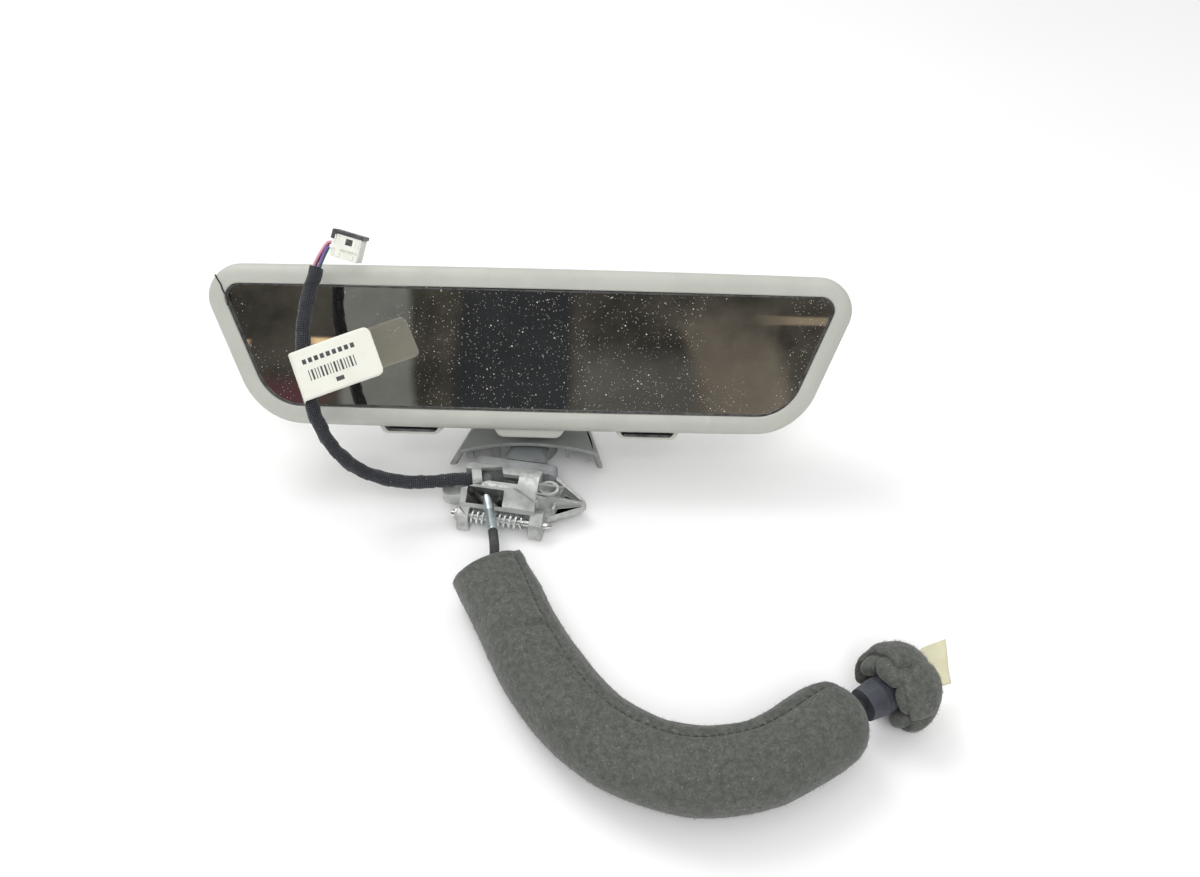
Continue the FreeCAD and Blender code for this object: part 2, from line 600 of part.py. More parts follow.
# ---- foot cover ---------------------------------------------------------------------------------
def cover_section(arch, along, inset, floor):
    """One cross-section of the cover: legs, shoulders and crown."""
    (lx, lz), (sx, sz), (cx, cz), (tx, tz), (rx, rz) = arch
    crown = Part.Arc(V(sx + inset, along, sz - inset), V(cx, along, cz - inset),
                     V(tx - inset, along, tz - inset)).toShape()
    points = [V(tx - inset, along, tz - inset), V(rx - inset, along, rz - inset),
              V(rx - inset, along, floor), V(lx + inset, along, floor),
              V(lx + inset, along, lz - inset), V(sx + inset, along, sz - inset)]
    sides = [Part.LineSegment(a, b).toShape() for a, b in zip(points, points[1:])]
    return Part.Wire([crown] + sides)


def foot_cover():
    """Thin shroud round the neck, open below and towards the foot, with clip legs inside."""
    outer = Part.makeLoft([cover_section(COVER_ARCH, COVER_FRONT, 0, 1.0),
                           cover_section(COVER_TAIL, COVER_BACK, 0, 1.0)], True, True)
    inner = Part.makeLoft([cover_section(COVER_ARCH, COVER_FRONT - 0.01, COVER_WALL, -1.0),
                           cover_section(COVER_TAIL, COVER_BACK - COVER_WALL, COVER_WALL, -1.0)],
                          True, True)
    shell = outer.cut(inner)
    centre = ball_centre()
    gap = HEEL_R + 0.8
    shell = shell.cut([rod(gap, (0, centre.y, -1), (0, centre.y, 25)),
                       box((-gap, gap), (centre.y, COVER_BACK + 1), (-1, 25))])
    shell = shell.cut(side_relief())
    for x, low, width in ((-25.6, 9.2, 2.6), (-14.6, 9.6, 3.2), (15.6, 10.6, 1.6), (25.4, 9.0, 1.6)):
        tab = box((x - width / 2, x + width / 2), (COVER_FRONT + 1.4, COVER_FRONT + 3.2), (low, 19.0))
        shell = shell.fuse(tab.common(outer))
    return shell.removeSplitter()


def side_relief():
    """The slanted cut that leaves the cover's side walls as pointed wings."""
    outline = ((COVER_FRONT - 1, -1.0), (COVER_FRONT - 1, 7.0), (COVER_FRONT + 4, 3.4),
               (COVER_FRONT + 16, 2.4), (COVER_BACK + 1, 2.0), (COVER_BACK + 1, -1.0))
    return prism(outline, (-45, 45))


# ---- loom pieces --------------------------------------------------------------------------------
def on_connector(shape):
    """Turn a piece of the connector in the face's plane, lean it and set it in place."""
    shape = shape.copy()
    shape.rotate(V(0, 0, 0), V(0, 1, 0), CONNECTOR_TURN)
    shape.rotate(V(0, 0, 0), V(1, 0, 0), -HEAD_LEAN)
    shape.translate(V(*CONNECTOR_AT))
    return shape


def connector_housing():
    """Small off-white plug body with keys, a window and a groove."""
    half, deep, tall = (s / 2 for s in CONNECTOR_SIZE)
    body = box((-half, half), (-deep, deep), (-tall, tall - 1.4))
    body = body.makeFillet(0.5, [e for e in body.Edges if abs(e.tangentAt(0).y) > 0.9])
    body = body.cut(box((-0.4, 2.2), (-deep - 1, -deep + 1.6), (0.4, 2.8)))
    body = body.cut(box((-1.6, half + 1), (-deep - 1, -deep + 0.7), (-2.4, -1.7)))
    body = body.cut(box((-half - 1, -half + 2.0), (-deep - 1, -deep + 1.4), (-tall - 1, -2.0)))
    body = body.cut(box((-half - 1, half - 3.0), (-deep + 2.2, deep - 2.2), (-tall + 2.0, tall - 3.4)))
    keys = [box((-2.6, -1.4), (-deep - 0.7, -deep + 0.5), (-tall + 0.6, -2.8)),
            box((2.6, 3.8), (-deep - 0.7, -deep + 0.5), (-tall + 0.6, -2.8))]
    return on_connector(body.fuse(keys))


def connector_lid():
    """Dark secondary lock across the connector's upper side."""
    half, deep, tall = (s / 2 for s in CONNECTOR_SIZE)
    lid = box((-half - 0.6, half + 0.5), (-deep - 0.4, deep + 0.2), (tall - 1.4, tall))
    lip = box((-half - 0.6, -half + 1.4), (-deep - 0.4, -deep), (tall - 3.6, tall - 1.4))
    return on_connector(lid.fuse(lip))


def terminals():
    """Crimp terminals inside the connector."""
    half, _, tall = (s / 2 for s in CONNECTOR_SIZE)
    pins = [on_connector(box((-half + 1.0, half - 4.0), (y - 0.4, y + 0.4), (z - 0.4, z + 0.4)))
            for y in (-1.4, 1.4) for z in (-1.8, 0.2)]
    return Part.makeCompound(pins)


def wire(index):
    """One of the four coloured wires from the loom's end into the connector."""
    half = CONNECTOR_SIZE[0] / 2
    across = (-1.4, 1.4)[index % 2]
    height = (-1.8, 0.2)[index // 2]
    end, before = V(*LOOM_ROUTE[-1]), V(*LOOM_ROUTE[-2])
    along = (end - before).normalize()
    aside = along.cross(V(1, 0, 0)).normalize()
    start = end + aside * (across * 0.6) + along.cross(aside) * (0.9 * (height + 0.8))
    points = [start, start + along * 2.6]
    for x in (-half - 4.2, -half - 1.6, -half + 1.0):
        points.append(on_connector(Part.Vertex(V(x, across, height))).Point)
    points[2] = (points[1] + points[3]) * 0.5 + along * 1.3
    return tube([tuple(p) for p in points], WIRE_D, f"wire {index}")


def label_flag():
    """Folded paper flag round the loom, standing out to the right."""
    outline = ((-3.4, -9.4), (29.4, -9.4), (29.4, 9.4), (-3.4, 9.4))
    face = Part.Face(rounded(outline, (0.6, 2.6, 2.6, 0.6), lambda p: V(p.x, 0, p.y)))
    flag = face.extrude(V(0, 0.5, 0))
    flag.rotate(V(0, 0, 0), V(0, 1, 0), -21.0)
    flag.rotate(V(0, 0, 0), V(1, 0, 0), -42.0)
    flag.translate(V(-81.6, -27.4, 67.4))
    return flag


# ---- felt-covered lead --------------------------------------------------------------------------
def cable_sleeve():
    """Plated ferrule on the lead where it leaves the foot."""
    start, end = V(*LEAD_ROUTE[0]), V(*LEAD_ROUTE[2])
    along = (end - start).normalize()
    body = rod(SLEEVE_R, tuple(start - along * 1.0), tuple(end - along * 1.2))
    return body.cut(rod(LEAD_D / 2 - 0.2, tuple(start - along * 2), tuple(end + along)))


def felt_sleeve():
    """Padded sleeve of the lead, lying along the bench with a rounded far end."""
    body = tube(FELT_ROUTE, 2 * FELT_R, "felt sleeve")
    end, before = V(*FELT_ROUTE[-1]), V(*FELT_ROUTE[-2])
    along = (end - before).normalize()
    shoulder = Part.makeCone(FELT_R, 8.6, 5.4, end, along)
    return body.fuse(shoulder)


def cap_axis():
    """Where the felt cap begins and which way it points."""
    end, before = V(*LEAD_ROUTE[-1]), V(*LEAD_ROUTE[-2])
    return end, (end - before).normalize()


def plug_body():
    """Dark plug at the lead's far end, between the sleeve and the cap."""
    end, along = cap_axis()
    return rod(PLUG_R, tuple(end - along * 7.0), tuple(end + along * 9.0))


def felt_cap():
    """Felt wrapped over the plug's end."""
    end, along = cap_axis()
    body = rod(9.0, tuple(end - along * 1.0), tuple(end + along * 2.5), CAP_R)
    body = body.fuse(rod(CAP_R, tuple(end + along * 2.5), tuple(end + along * 10.5)))
    body = body.fuse(rod(CAP_R, tuple(end + along * 10.5), tuple(end + along * 15.0), 9.0))
    return body.cut(plug_body())


def tape_tag():
    """Pale tape folded out behind the cap."""
    end, along = cap_axis()
    tag = box((0, 12.5), (-0.3, 0.3), (-8.5, 8.5))
    tag.rotate(V(0, 0, 0), V(0, 0, 1), 34)
    tag.translate(end + along * 14.2)
    return tag.cut(felt_cap())


# ---- the object ---------------------------------------------------------------------------------
def head_nodes():
    """Pieces that move with the head."""
    back = GLASS_FRONT + PANE
    rear = back + PANE_GAP
    return {
        "front_bezel": on_head(front_bezel()),
        "glass_gasket": on_head(head_ring((1.1, GLASS_FRONT), BEZEL_BAND, BEZEL_BAND + 0.6)),
        "mirror_glass": on_head(head_slab((GLASS_FRONT, back), GLASS_INSET)),
        "cell_seal": on_head(head_ring((back, rear), GLASS_INSET + 0.8, GLASS_INSET + 2.4)),
        "rear_pane": on_head(head_slab((rear, rear + PANE), GLASS_INSET)),
        "foam_tape": on_head(head_slab((rear + PANE, 6.4), 9.0)),
        "bus_clips": bus_clips(),
        "glass_carrier": on_head(glass_carrier()),
        "snap_clips": snap_clips(),
        "rear_housing": on_head(rear_housing()),
        "scoop_left": on_head(scoop(-48.8)),
        "scoop_right": on_head(scoop(48.8)),
        "neck_visor": on_head(neck_visor()),
        "socket_cage": socket_cage(),
        "cage_screws": head_screws(CAGE_SCREWS, 13.6, 9.0, 2.3, 1.2),
        "circuit_board": on_head(circuit_board()),
        "board_chips": board_chips(),
        "board_header": on_head(box((36, 46), (14.0, 20.0), (18, 28))),
        "board_screws": head_screws(BOARD_SCREWS, 14.0, 9.2, 1.9, 0.9),
        "light_sensor": on_head(rod(2.6, (45, 14.0, 36), (45, 27.0, 36))),
        "sensor_window": on_head(rod(4.0, (45, 30.0, 31), (45, 38.6, 31))),
    }


def joint_nodes():
    """The shells between the ball and the cage."""
    centre = ball_centre()
    return {
        "socket_liner": sphere_shell(LINER_R, BALL_R + FIT, MOUTH, centre),
        "socket_cup": sphere_shell(CUP_R, LINER_R + FIT, MOUTH, centre),
    }


def foot_nodes():
    """The arm, the foot and the locking pin's pieces."""
    return {
        "neck_casting": neck_casting(),
        "ball_stud": ball_stud(),
        "neck_lead": neck_lead(),
        "flange_screws": flange_screws(),
        "foot_casting": foot_casting(),
        "cable_guide": cable_guide(),
        "loom_clip": loom_clip(),
        "locking_pin": locking_pin(),
        "retaining_ring": retaining_ring(),
        "latch_spring": latch_spring(),
        "foot_cover": foot_cover(),
    }


def loom_nodes():
    """The taped loom with its connector, wires and label."""
    nodes = {
        "loom": tube(LOOM_ROUTE, LOOM_D, "loom"),
        "connector_housing": connector_housing(),
        "connector_lid": connector_lid(),
        "terminals": terminals(),
        "label_flag": label_flag(),
    }
    for index, colour in enumerate(("violet", "green", "pink", "brown")):
        nodes[f"wire_{colour}"] = wire(index)
    return nodes


def lead_nodes():
    """The felt-covered lead and what is on it."""
    return {
        "lead_cable": tube(LEAD_ROUTE, LEAD_D, "lead"),
        "cable_sleeve": cable_sleeve(),
        "felt_sleeve": felt_sleeve(),
        "plug_body": plug_body(),
        "felt_cap": felt_cap(),
        "tape_tag": tape_tag(),
    }


def main():
    """Build every piece and write it as STEP."""
    os.makedirs("parts", exist_ok=True)
    nodes = {}
    for group in (head_nodes, joint_nodes, foot_nodes, loom_nodes, lead_nodes):
        nodes.update(group())
    for name, shape in nodes.items():
        print(f"{name}: {shape.ShapeType}, solids {len(shape.Solids)}, valid {shape.isValid()}, "
              f"volume {shape.Volume:.1f}")
        shape.exportStep(f"parts/{name}.step")


main()
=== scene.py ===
"""Looks of an interior rearview mirror that stands on its foot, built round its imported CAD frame.

Everything is in metres in the frame's own axes: +X to the right along the head, +Y away from the
glass side, +Z up. Pieces of the head are shaped in head coordinates (x, depth behind the face,
height on the face) and pieces of the arm in arm coordinates, and both are set in place by a matrix.
"""

import json
import logging
import math
import random
from dataclasses import dataclass, field
from enum import Enum
from typing import Callable, ClassVar, Iterable, Sequence

import bmesh
import bpy
from mathutils import Matrix, Vector, noise

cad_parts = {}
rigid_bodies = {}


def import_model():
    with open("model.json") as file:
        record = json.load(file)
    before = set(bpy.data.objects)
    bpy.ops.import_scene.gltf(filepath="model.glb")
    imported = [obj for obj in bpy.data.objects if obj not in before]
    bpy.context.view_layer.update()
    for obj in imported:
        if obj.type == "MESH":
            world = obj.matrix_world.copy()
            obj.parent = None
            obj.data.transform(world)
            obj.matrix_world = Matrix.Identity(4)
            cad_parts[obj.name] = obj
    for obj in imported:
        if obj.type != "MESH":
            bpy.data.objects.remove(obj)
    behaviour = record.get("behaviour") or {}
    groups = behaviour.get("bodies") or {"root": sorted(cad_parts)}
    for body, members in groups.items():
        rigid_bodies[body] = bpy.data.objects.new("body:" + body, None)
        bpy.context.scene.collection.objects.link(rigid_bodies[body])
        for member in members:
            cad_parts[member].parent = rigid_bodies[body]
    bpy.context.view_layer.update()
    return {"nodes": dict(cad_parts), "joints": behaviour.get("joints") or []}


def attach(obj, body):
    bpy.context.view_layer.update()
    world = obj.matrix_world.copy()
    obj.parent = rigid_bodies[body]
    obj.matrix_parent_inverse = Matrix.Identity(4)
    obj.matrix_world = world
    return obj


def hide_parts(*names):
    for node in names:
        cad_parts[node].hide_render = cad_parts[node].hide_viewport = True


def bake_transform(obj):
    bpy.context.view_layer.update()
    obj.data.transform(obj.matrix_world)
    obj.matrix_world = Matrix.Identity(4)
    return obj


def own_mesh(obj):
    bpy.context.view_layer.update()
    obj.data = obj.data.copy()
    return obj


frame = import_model()

LOG = logging.getLogger("mirror")
MM = 0.001
Point = tuple[float, float, float]
Colour = tuple[float, float, float]
Outline = Sequence[tuple[float, float]]
Shape = tuple[list[Vector], list[tuple]]    # corners and faces
Piece = bpy.types.Object
Material = bpy.types.Material
Socket = bpy.types.NodeSocket
Sockets = bpy.types.bpy_prop_collection

HEAD_LEAN = math.radians(30.0)
HEAD_EDGE = Vector((0.0, -10.7, 30.8)) * MM
HEAD_MIDDLE = 32.0                      # half the face's height, millimetres
ARM_TURN = math.radians(-9.0)
BALL = Vector(next(j for j in frame["joints"] if j["name"] == "head_yaw")["pos_m"])
HEAD_FRAME = Matrix.Translation(HEAD_EDGE) @ Matrix.Rotation(-HEAD_LEAN, 4, "X")
ARM_FRAME = Matrix.Translation((0, BALL.y, 0)) @ Matrix.Rotation(ARM_TURN, 4, "Z")
QUARTER_TURN = Matrix.Rotation(math.radians(90), 4, "Z")

SLEEVE_FIBRES = (9000, 900)
CAP_FIBRES = (2200, 300)
SWELL_FRAMES = 20
LIT_SPOT: Point = (0, -0.04, 0.03)      # what the lights point at

# Blocks on the connector, by their low and high corners in millimetres.
RIBS_AT = (-4.6, -3.4, 3.2, 4.4)
RIB_WIDTH = 0.45
CONNECTOR_STEPS = (((-1.5, -5.3, -1.5), (3.2, -4.4, -0.9)), ((-5.9, -4.2, -2.2), (-5.3, 3.4, -1.2)))
CONNECTOR_WINDOW = ((-0.35, -3.6, 0.45), (2.15, -3.0, 2.75))

LOOM_ROUTE: tuple[Point, ...] = (
    (-0.0176, -0.0256, 0.0176), (-0.0270, -0.0272, 0.0174), (-0.0388, -0.0288, 0.0170),
    (-0.0530, -0.0304, 0.0182), (-0.0650, -0.0324, 0.0252), (-0.0724, -0.0350, 0.0370),
    (-0.0768, -0.0354, 0.0496), (-0.0808, -0.0292, 0.0616), (-0.0832, -0.0194, 0.0714),
    (-0.0840, -0.0088, 0.0802), (-0.0826, 0.0012, 0.0884), (-0.0806, 0.0072, 0.0936),
)
LEAD_ROUTE: tuple[Point, ...] = (
    (-0.0154, -0.0338, 0.0132), (-0.0134, -0.0426, 0.0126), (-0.0112, -0.0522, 0.0120),
    (-0.0098, -0.0610, 0.0122), (-0.0092, -0.0700, 0.0134), (-0.0056, -0.0830, 0.0144),
    (0.0014, -0.0996, 0.0144), (0.0136, -0.1226, 0.0144), (0.0274, -0.1406, 0.0144),
    (0.0444, -0.1516, 0.0144), (0.0630, -0.1560, 0.0144), (0.0834, -0.1522, 0.0144),
    (0.1004, -0.1406, 0.0144), (0.1118, -0.1322, 0.0144), (0.1204, -0.1278, 0.0144),
    (0.1284, -0.1230, 0.0144),
)
FELT_ROUTE: tuple[Point, ...] = (
    (-0.0120, -0.0714, 0.0144), (-0.0050, -0.0844, 0.0144), (0.0024, -0.1014, 0.0144),
    (0.0138, -0.1226, 0.0144), (0.0274, -0.1406, 0.0144), (0.0444, -0.1516, 0.0144),
    (0.0630, -0.1560, 0.0144), (0.0834, -0.1522, 0.0144), (0.1004, -0.1406, 0.0144),
    (0.1146, -0.1306, 0.0144),
)


class Body(Enum):
    """The CAD bodies that pieces ride on."""

    FOOT = "foot"
    SWIVEL = "swivel"
    TILT = "tilt"
    HEAD = "head"
    LATCH = "latch"
    COVER = "cover"


class Pattern(Enum):
    """How a surface's fine relief is made."""

    GRAIN = "grain"
    CASTING = "casting"
    BRUSHED = "brushed"


# ---- node helpers -------------------------------------------------------------------------------
class Graph:
    """Short ways to add and join nodes in one tree."""

    def __init__(self, tree: bpy.types.NodeTree) -> None:
        """Remember the tree that nodes are added to."""
        self.tree = tree

    def add(self, kind: str, **settings: object) -> bpy.types.Node:
        """Add a node.

        Args:
            kind: The node's type name.
            **settings: Properties to set on the node.

        Returns:
            The new node.
        """
        node = self.tree.nodes.new(kind)
        for name, value in settings.items():
            setattr(node, name, value)
        return node

    def feed(self, socket: Socket, value: object) -> None:
        """Join an output to an input, or set the input's own value."""
        if isinstance(value, Socket):
            self.tree.links.new(value, socket)
        else:
            socket.default_value = value

    def math(self, operation: str, *values: object, clamp: bool = False) -> Socket:
        """Add a math node and return its output."""
        node = self.add("ShaderNodeMath", operation=operation, use_clamp=clamp)
        for socket, value in zip(node.inputs, values):
            self.feed(socket, value)
        return node.outputs[0]

    def times(self, first: object, second: object) -> Socket:
        """The product of two values."""
        return self.math("MULTIPLY", first, second)

    def plus(self, first: object, second: object, clamp: bool = False) -> Socket:
        """The sum of two values."""
        return self.math("ADD", first, second, clamp=clamp)

    def here(self) -> Socket:
        """The place on the piece, in its own axes."""
        return self.add("ShaderNodeTexCoord").outputs["Object"]

    def split(self, value: object) -> Sockets:
        """The three parts of a vector, as outputs."""
        node = self.add("ShaderNodeSeparateXYZ")
        self.feed(node.inputs[0], value)
        return node.outputs

    def span(self, value: object, low: float, high: float, to_low: float = 0.0,
             to_high: float = 1.0) -> Socket:
        """Map a value smoothly from one range to another and return the output."""
        node = self.add("ShaderNodeMapRange", interpolation_type="SMOOTHSTEP")
        for name, item in zip(("Value", "From Min", "From Max", "To Min", "To Max"),
                              (value, low, high, to_low, to_high)):
            self.feed(node.inputs[name], item)
        return node.outputs[0]

    def blend(self, share: object, first: object, second: object) -> Socket:
        """Mix two colours by a share and return the output."""
        node = self.add("ShaderNodeMix", data_type="RGBA")
        self.feed(node.inputs[0], share)
        for socket, value in ((node.inputs[6], first), (node.inputs[7], second)):
            self.feed(socket, (*value, 1.0) if isinstance(value, tuple) and len(value) == 3 else value)
        return node.outputs[2]

    def noise(self, where: object, scale: object, detail: float = 3.0, rough: float = 0.55,
              stretch: Point | None = None) -> Socket:
        """Noise at a place, at so many features a metre, and its value's output."""
        if stretch is not None:
            mapping = self.add("ShaderNodeMapping")
            mapping.inputs["Scale"].default_value = stretch
            self.feed(mapping.inputs["Vector"], where)
            where = mapping.outputs[0]
        node = self.add("ShaderNodeTexNoise")
        self.feed(node.inputs["Vector"], where)
        self.feed(node.inputs["Scale"], scale)
        node.inputs["Detail"].default_value = detail
        node.inputs["Roughness"].default_value = rough
        return node.outputs[0]


def new_group(name: str, inputs: dict[str, float], outputs: Sequence[str]) -> tuple[Graph, Sockets, Sockets]:
    """Start a shader node group of float sockets.

    Args:
        name: The group's name.
        inputs: Input names with their usual values.
        outputs: Output names.

    Returns:
        The graph, its given values and its results' sockets.
    """
    tree = bpy.data.node_groups.new(name, "ShaderNodeTree")
    for label, value in inputs.items():
        socket = tree.interface.new_socket(label, in_out="INPUT", socket_type="NodeSocketFloat")
        socket.default_value = value
    for label in outputs:
        tree.interface.new_socket(label, in_out="OUTPUT", socket_type="NodeSocketFloat")
    graph = Graph(tree)
    return graph, graph.add("NodeGroupInput").outputs, graph.add("NodeGroupOutput").inputs


class Effects:
    """The shader groups that several finishes share, each built once."""

    def __init__(self) -> None:
        """Build every group."""
        self.relief = {Pattern.GRAIN: self._relief("grain", 1.0, (1, 1, 1)),
                       Pattern.CASTING: self._relief("casting", 0.35, (1, 1, 1)),
                       Pattern.BRUSHED: self._relief("brushed", 1.0, (0.06, 1, 1))}
        self.mottle = self._mottle()
        self.wear = self._wear()
        self.dust = self._dust()
        self.scuff = self._scuff()
        self.weave = self._weave()
        self.fuzz = self._fuzz()

    def _relief(self, name: str, mix: float, stretch: Point) -> bpy.types.NodeTree:
        """Fine relief of a moulded, cast or brushed surface."""
        graph, given, out = new_group(name, {"Scale": 2000.0}, ["Height"])
        where = graph.here()
        fine = graph.noise(where, given["Scale"], 4.0, 0.6, stretch)
        broad = graph.noise(where, graph.times(given["Scale"], 0.13), 2.0)
        both = graph.plus(graph.times(fine, mix), graph.times(broad, 1.0 - mix * 0.6))
        graph.feed(out["Height"], both)
        return graph.tree

    def _mottle(self) -> bpy.types.NodeTree:
        """Cloudy patches, as an uneven tone."""
        graph, given, out = new_group("mottle", {"Scale": 60.0, "Low": 0.4, "High": 0.65}, ["Mask"])
        where = graph.here()
        cloud = graph.noise(where, given["Scale"], 5.0, 0.62)
        graph.feed(out["Mask"], graph.span(cloud, given["Low"], given["High"]))
        return graph.tree

    def _wear(self) -> bpy.types.NodeTree:
        """Outer edges where the finish is rubbed, broken up by noise."""
        graph, given, out = new_group("edge_wear", {"Amount": 0.5, "Break up": 400.0}, ["Mask"])
        facing = graph.add("ShaderNodeNewGeometry")
        where = graph.here()
        edge = graph.span(facing.outputs["Pointiness"], 0.52, 0.60)
        rubbed = graph.span(graph.noise(where, given["Break up"], 4.0), 0.35, 0.6)
        both = graph.times(edge, rubbed)
        graph.feed(out["Mask"], graph.math("MULTIPLY", both, given["Amount"], clamp=True))
        return graph.tree

    def _dust(self) -> bpy.types.NodeTree:
        """Separate specks of dust in random sizes, with a faint haze between them."""
        graph, given, out = new_group("dust", {"Scale": 500.0, "Specks": 0.1, "Haze": 0.1}, ["Mask"])
        where = graph.here()
        cells = graph.add("ShaderNodeTexVoronoi")
        graph.feed(cells.inputs["Vector"], where)
        graph.feed(cells.inputs["Scale"], given["Scale"])
        split = graph.add("ShaderNodeSeparateColor")
        graph.feed(split.inputs[0], cells.outputs["Color"])
        reach = graph.times(graph.math("POWER", split.outputs[0], 5.0), given["Specks"])
        speck = graph.math("LESS_THAN", cells.outputs["Distance"], reach)
        haze = graph.span(graph.noise(where, 90.0, 6.0, 0.7), 0.42, 0.75)
        total = graph.plus(graph.times(speck, 0.8), graph.times(haze, given["Haze"]), clamp=True)
        graph.feed(out["Mask"], total)
        return graph.tree

    def _scuff(self) -> bpy.types.NodeTree:
        """Long thin rubs that cross a surface in two directions."""
        graph, given, out = new_group("scuffs", {"Scale": 120.0, "Amount": 0.3}, ["Mask"])
        where = graph.here()
        one = graph.noise(where, given["Scale"], 3.0, 0.5, (0.12, 1.4, 1.4))
        two = graph.noise(where, graph.times(given["Scale"], 0.8), 3.0, 0.5,
                          (1.2, 0.16, 0.5))
        lines = graph.math("MAXIMUM", graph.span(one, 0.66, 0.72), graph.span(two, 0.68, 0.74))
        area = graph.span(graph.noise(where, 22.0, 2.0), 0.48, 0.62)
        mask = graph.times(graph.times(lines, area), given["Amount"])
        graph.feed(out["Mask"], mask)
        return graph.tree

    def _weave(self) -> bpy.types.NodeTree:
        """Plain weave that follows the piece's own map, which is in metres."""
        graph, given, out = new_group("weave", {"Threads": 2200.0}, ["Height", "Tone"])
        where = graph.add("ShaderNodeUVMap", uv_map="cloth").outputs[0]
        parts = graph.split(where)
        waves = []
        for axis in (0, 1):
            turn = graph.times(parts[axis], given["Threads"])
            waves.append(graph.math("ABSOLUTE", graph.math("SINE", turn)))
        height = graph.times(waves[0], waves[1])
        rough = graph.noise(where, 900.0, 3.0, 0.7)
        graph.feed(out["Height"], graph.plus(height, graph.times(rough, 0.6)))
        graph.feed(out["Tone"], graph.times(height, rough))
        return graph.tree

    def _fuzz(self) -> bpy.types.NodeTree:
        """Matted fibres and pills of felt."""
        graph, given, out = new_group("felt_fuzz", {"Scale": 900.0}, ["Height", "Tone"])
        where = graph.here()
        fibres = graph.noise(where, given["Scale"], 6.0, 0.75)
        mat = graph.noise(where, graph.times(given["Scale"], 0.33), 4.0, 0.7)
        pills = graph.add("ShaderNodeTexVoronoi", feature="SMOOTH_F1")
        graph.feed(pills.inputs["Vector"], where)
        graph.feed(pills.inputs["Scale"], graph.times(given["Scale"], 0.6))
        height = graph.plus(graph.times(fibres, 0.6),
                            graph.math("SUBTRACT", mat, graph.times(pills.outputs[0], 0.4)))
        graph.feed(out["Height"], height)
        graph.feed(out["Tone"], graph.times(fibres, mat))
        return graph.tree


# ---- finishes -----------------------------------------------------------------------------------
DUST: Colour = (0.62, 0.61, 0.57)
LINT: Colour = (0.45, 0.45, 0.42)
DUSTY_GLASS: Colour = (0.72, 0.72, 0.68)


@dataclass(frozen=True)
class Finish:
    """A hard finish: plastic, casting, steel or rubber, with its wear and dust."""

    name: str
    colour: Colour
    stain: Colour
    worn: Colour
    roughness: float = 0.5
    metallic: float = 0.0
    pattern: Pattern = Pattern.GRAIN
    grain_scale: float = 2200.0
    grain_depth: float = 0.00004
    stain_scale: float = 55.0
    stain_share: float = 0.35
    wear: float = 0.5
    scuffs: float = 0.3
    dust: float = 0.08
    coat: float = 0.0
    worn_metal: float = 0.0

    def build(self, effects: Effects) -> Material:
        """Make the material.

        Args:
            effects: The shared shader groups.

        Returns:
            A material with its own shader and its relief, wear, scuffs and dust.
        """
        material, graph, shader = bare_material(self.name)
        shader.inputs["Coat Weight"].default_value = self.coat
        relief = place(graph, effects.relief[self.pattern], Scale=self.grain_scale)
        mottle = place(graph, effects.mottle, Scale=self.stain_scale)
        wear = place(graph, effects.wear, Amount=self.wear)
        scuff = place(graph, effects.scuff, Amount=self.scuffs)
        dust = place(graph, effects.dust, Haze=self.dust, Specks=self.dust)
        stained = graph.times(mottle["Mask"], self.stain_share)
        tone = graph.blend(stained, self.colour, self.stain)
        rubbed = graph.math("MAXIMUM", wear["Mask"], scuff["Mask"])
        tone = graph.blend(rubbed, tone, self.worn)
        tone = graph.blend(dust["Mask"], tone, DUST)
        graph.feed(shader.inputs["Base Color"], tone)
        rough = graph.plus(graph.times(mottle["Mask"], 0.12), self.roughness)
        rough = graph.plus(rough, graph.times(dust["Mask"], 0.3), clamp=True)
        graph.feed(shader.inputs["Roughness"], rough)
        if self.worn_metal > self.metallic:
            metal = graph.span(rubbed, 0.0, 1.0, self.metallic, self.worn_metal)
            graph.feed(shader.inputs["Metallic"], metal)
        else:
            shader.inputs["Metallic"].default_value = self.metallic
        bump(graph, shader, relief["Height"], self.grain_depth)
        return material


@dataclass(frozen=True)
class Cloth:
    """A woven or felted finish with sheen."""

    name: str
    colour: Colour
    light: Colour
    depth: float
    scale: float
    felted: bool
    sheen: float = 0.5

    def build(self, effects: Effects) -> Material:
        """Make the material from the weave or the felt group."""
        material, graph, shader = bare_material(self.name)
        group = effects.fuzz if self.felted else effects.weave
        label = "Scale" if self.felted else "Threads"
        cloth = place(graph, group, **{label: self.scale})
        mottle = place(graph, effects.mottle, Scale=70.0, Low=0.35, High=0.7)
        lint = place(graph, effects.dust, Scale=1100.0, Specks=0.3, Haze=0.04)
        share = graph.span(cloth["Tone"], 0.12, 0.42)
        tone = graph.blend(share, self.colour, self.light)
        tone = graph.blend(graph.times(mottle["Mask"], 0.1), tone, self.light)
        tone = graph.blend(graph.times(lint["Mask"], 0.35), tone, LINT)
        graph.feed(shader.inputs["Base Color"], tone)
        graph.feed(shader.inputs["Roughness"], graph.span(share, 0.0, 1.0, 0.95, 0.82))
        shader.inputs["Sheen Weight"].default_value = self.sheen
        shader.inputs["Sheen Roughness"].default_value = 0.45
        shader.inputs["Specular IOR Level"].default_value = 0.25
        bump(graph, shader, cloth["Height"], self.depth)
        return material


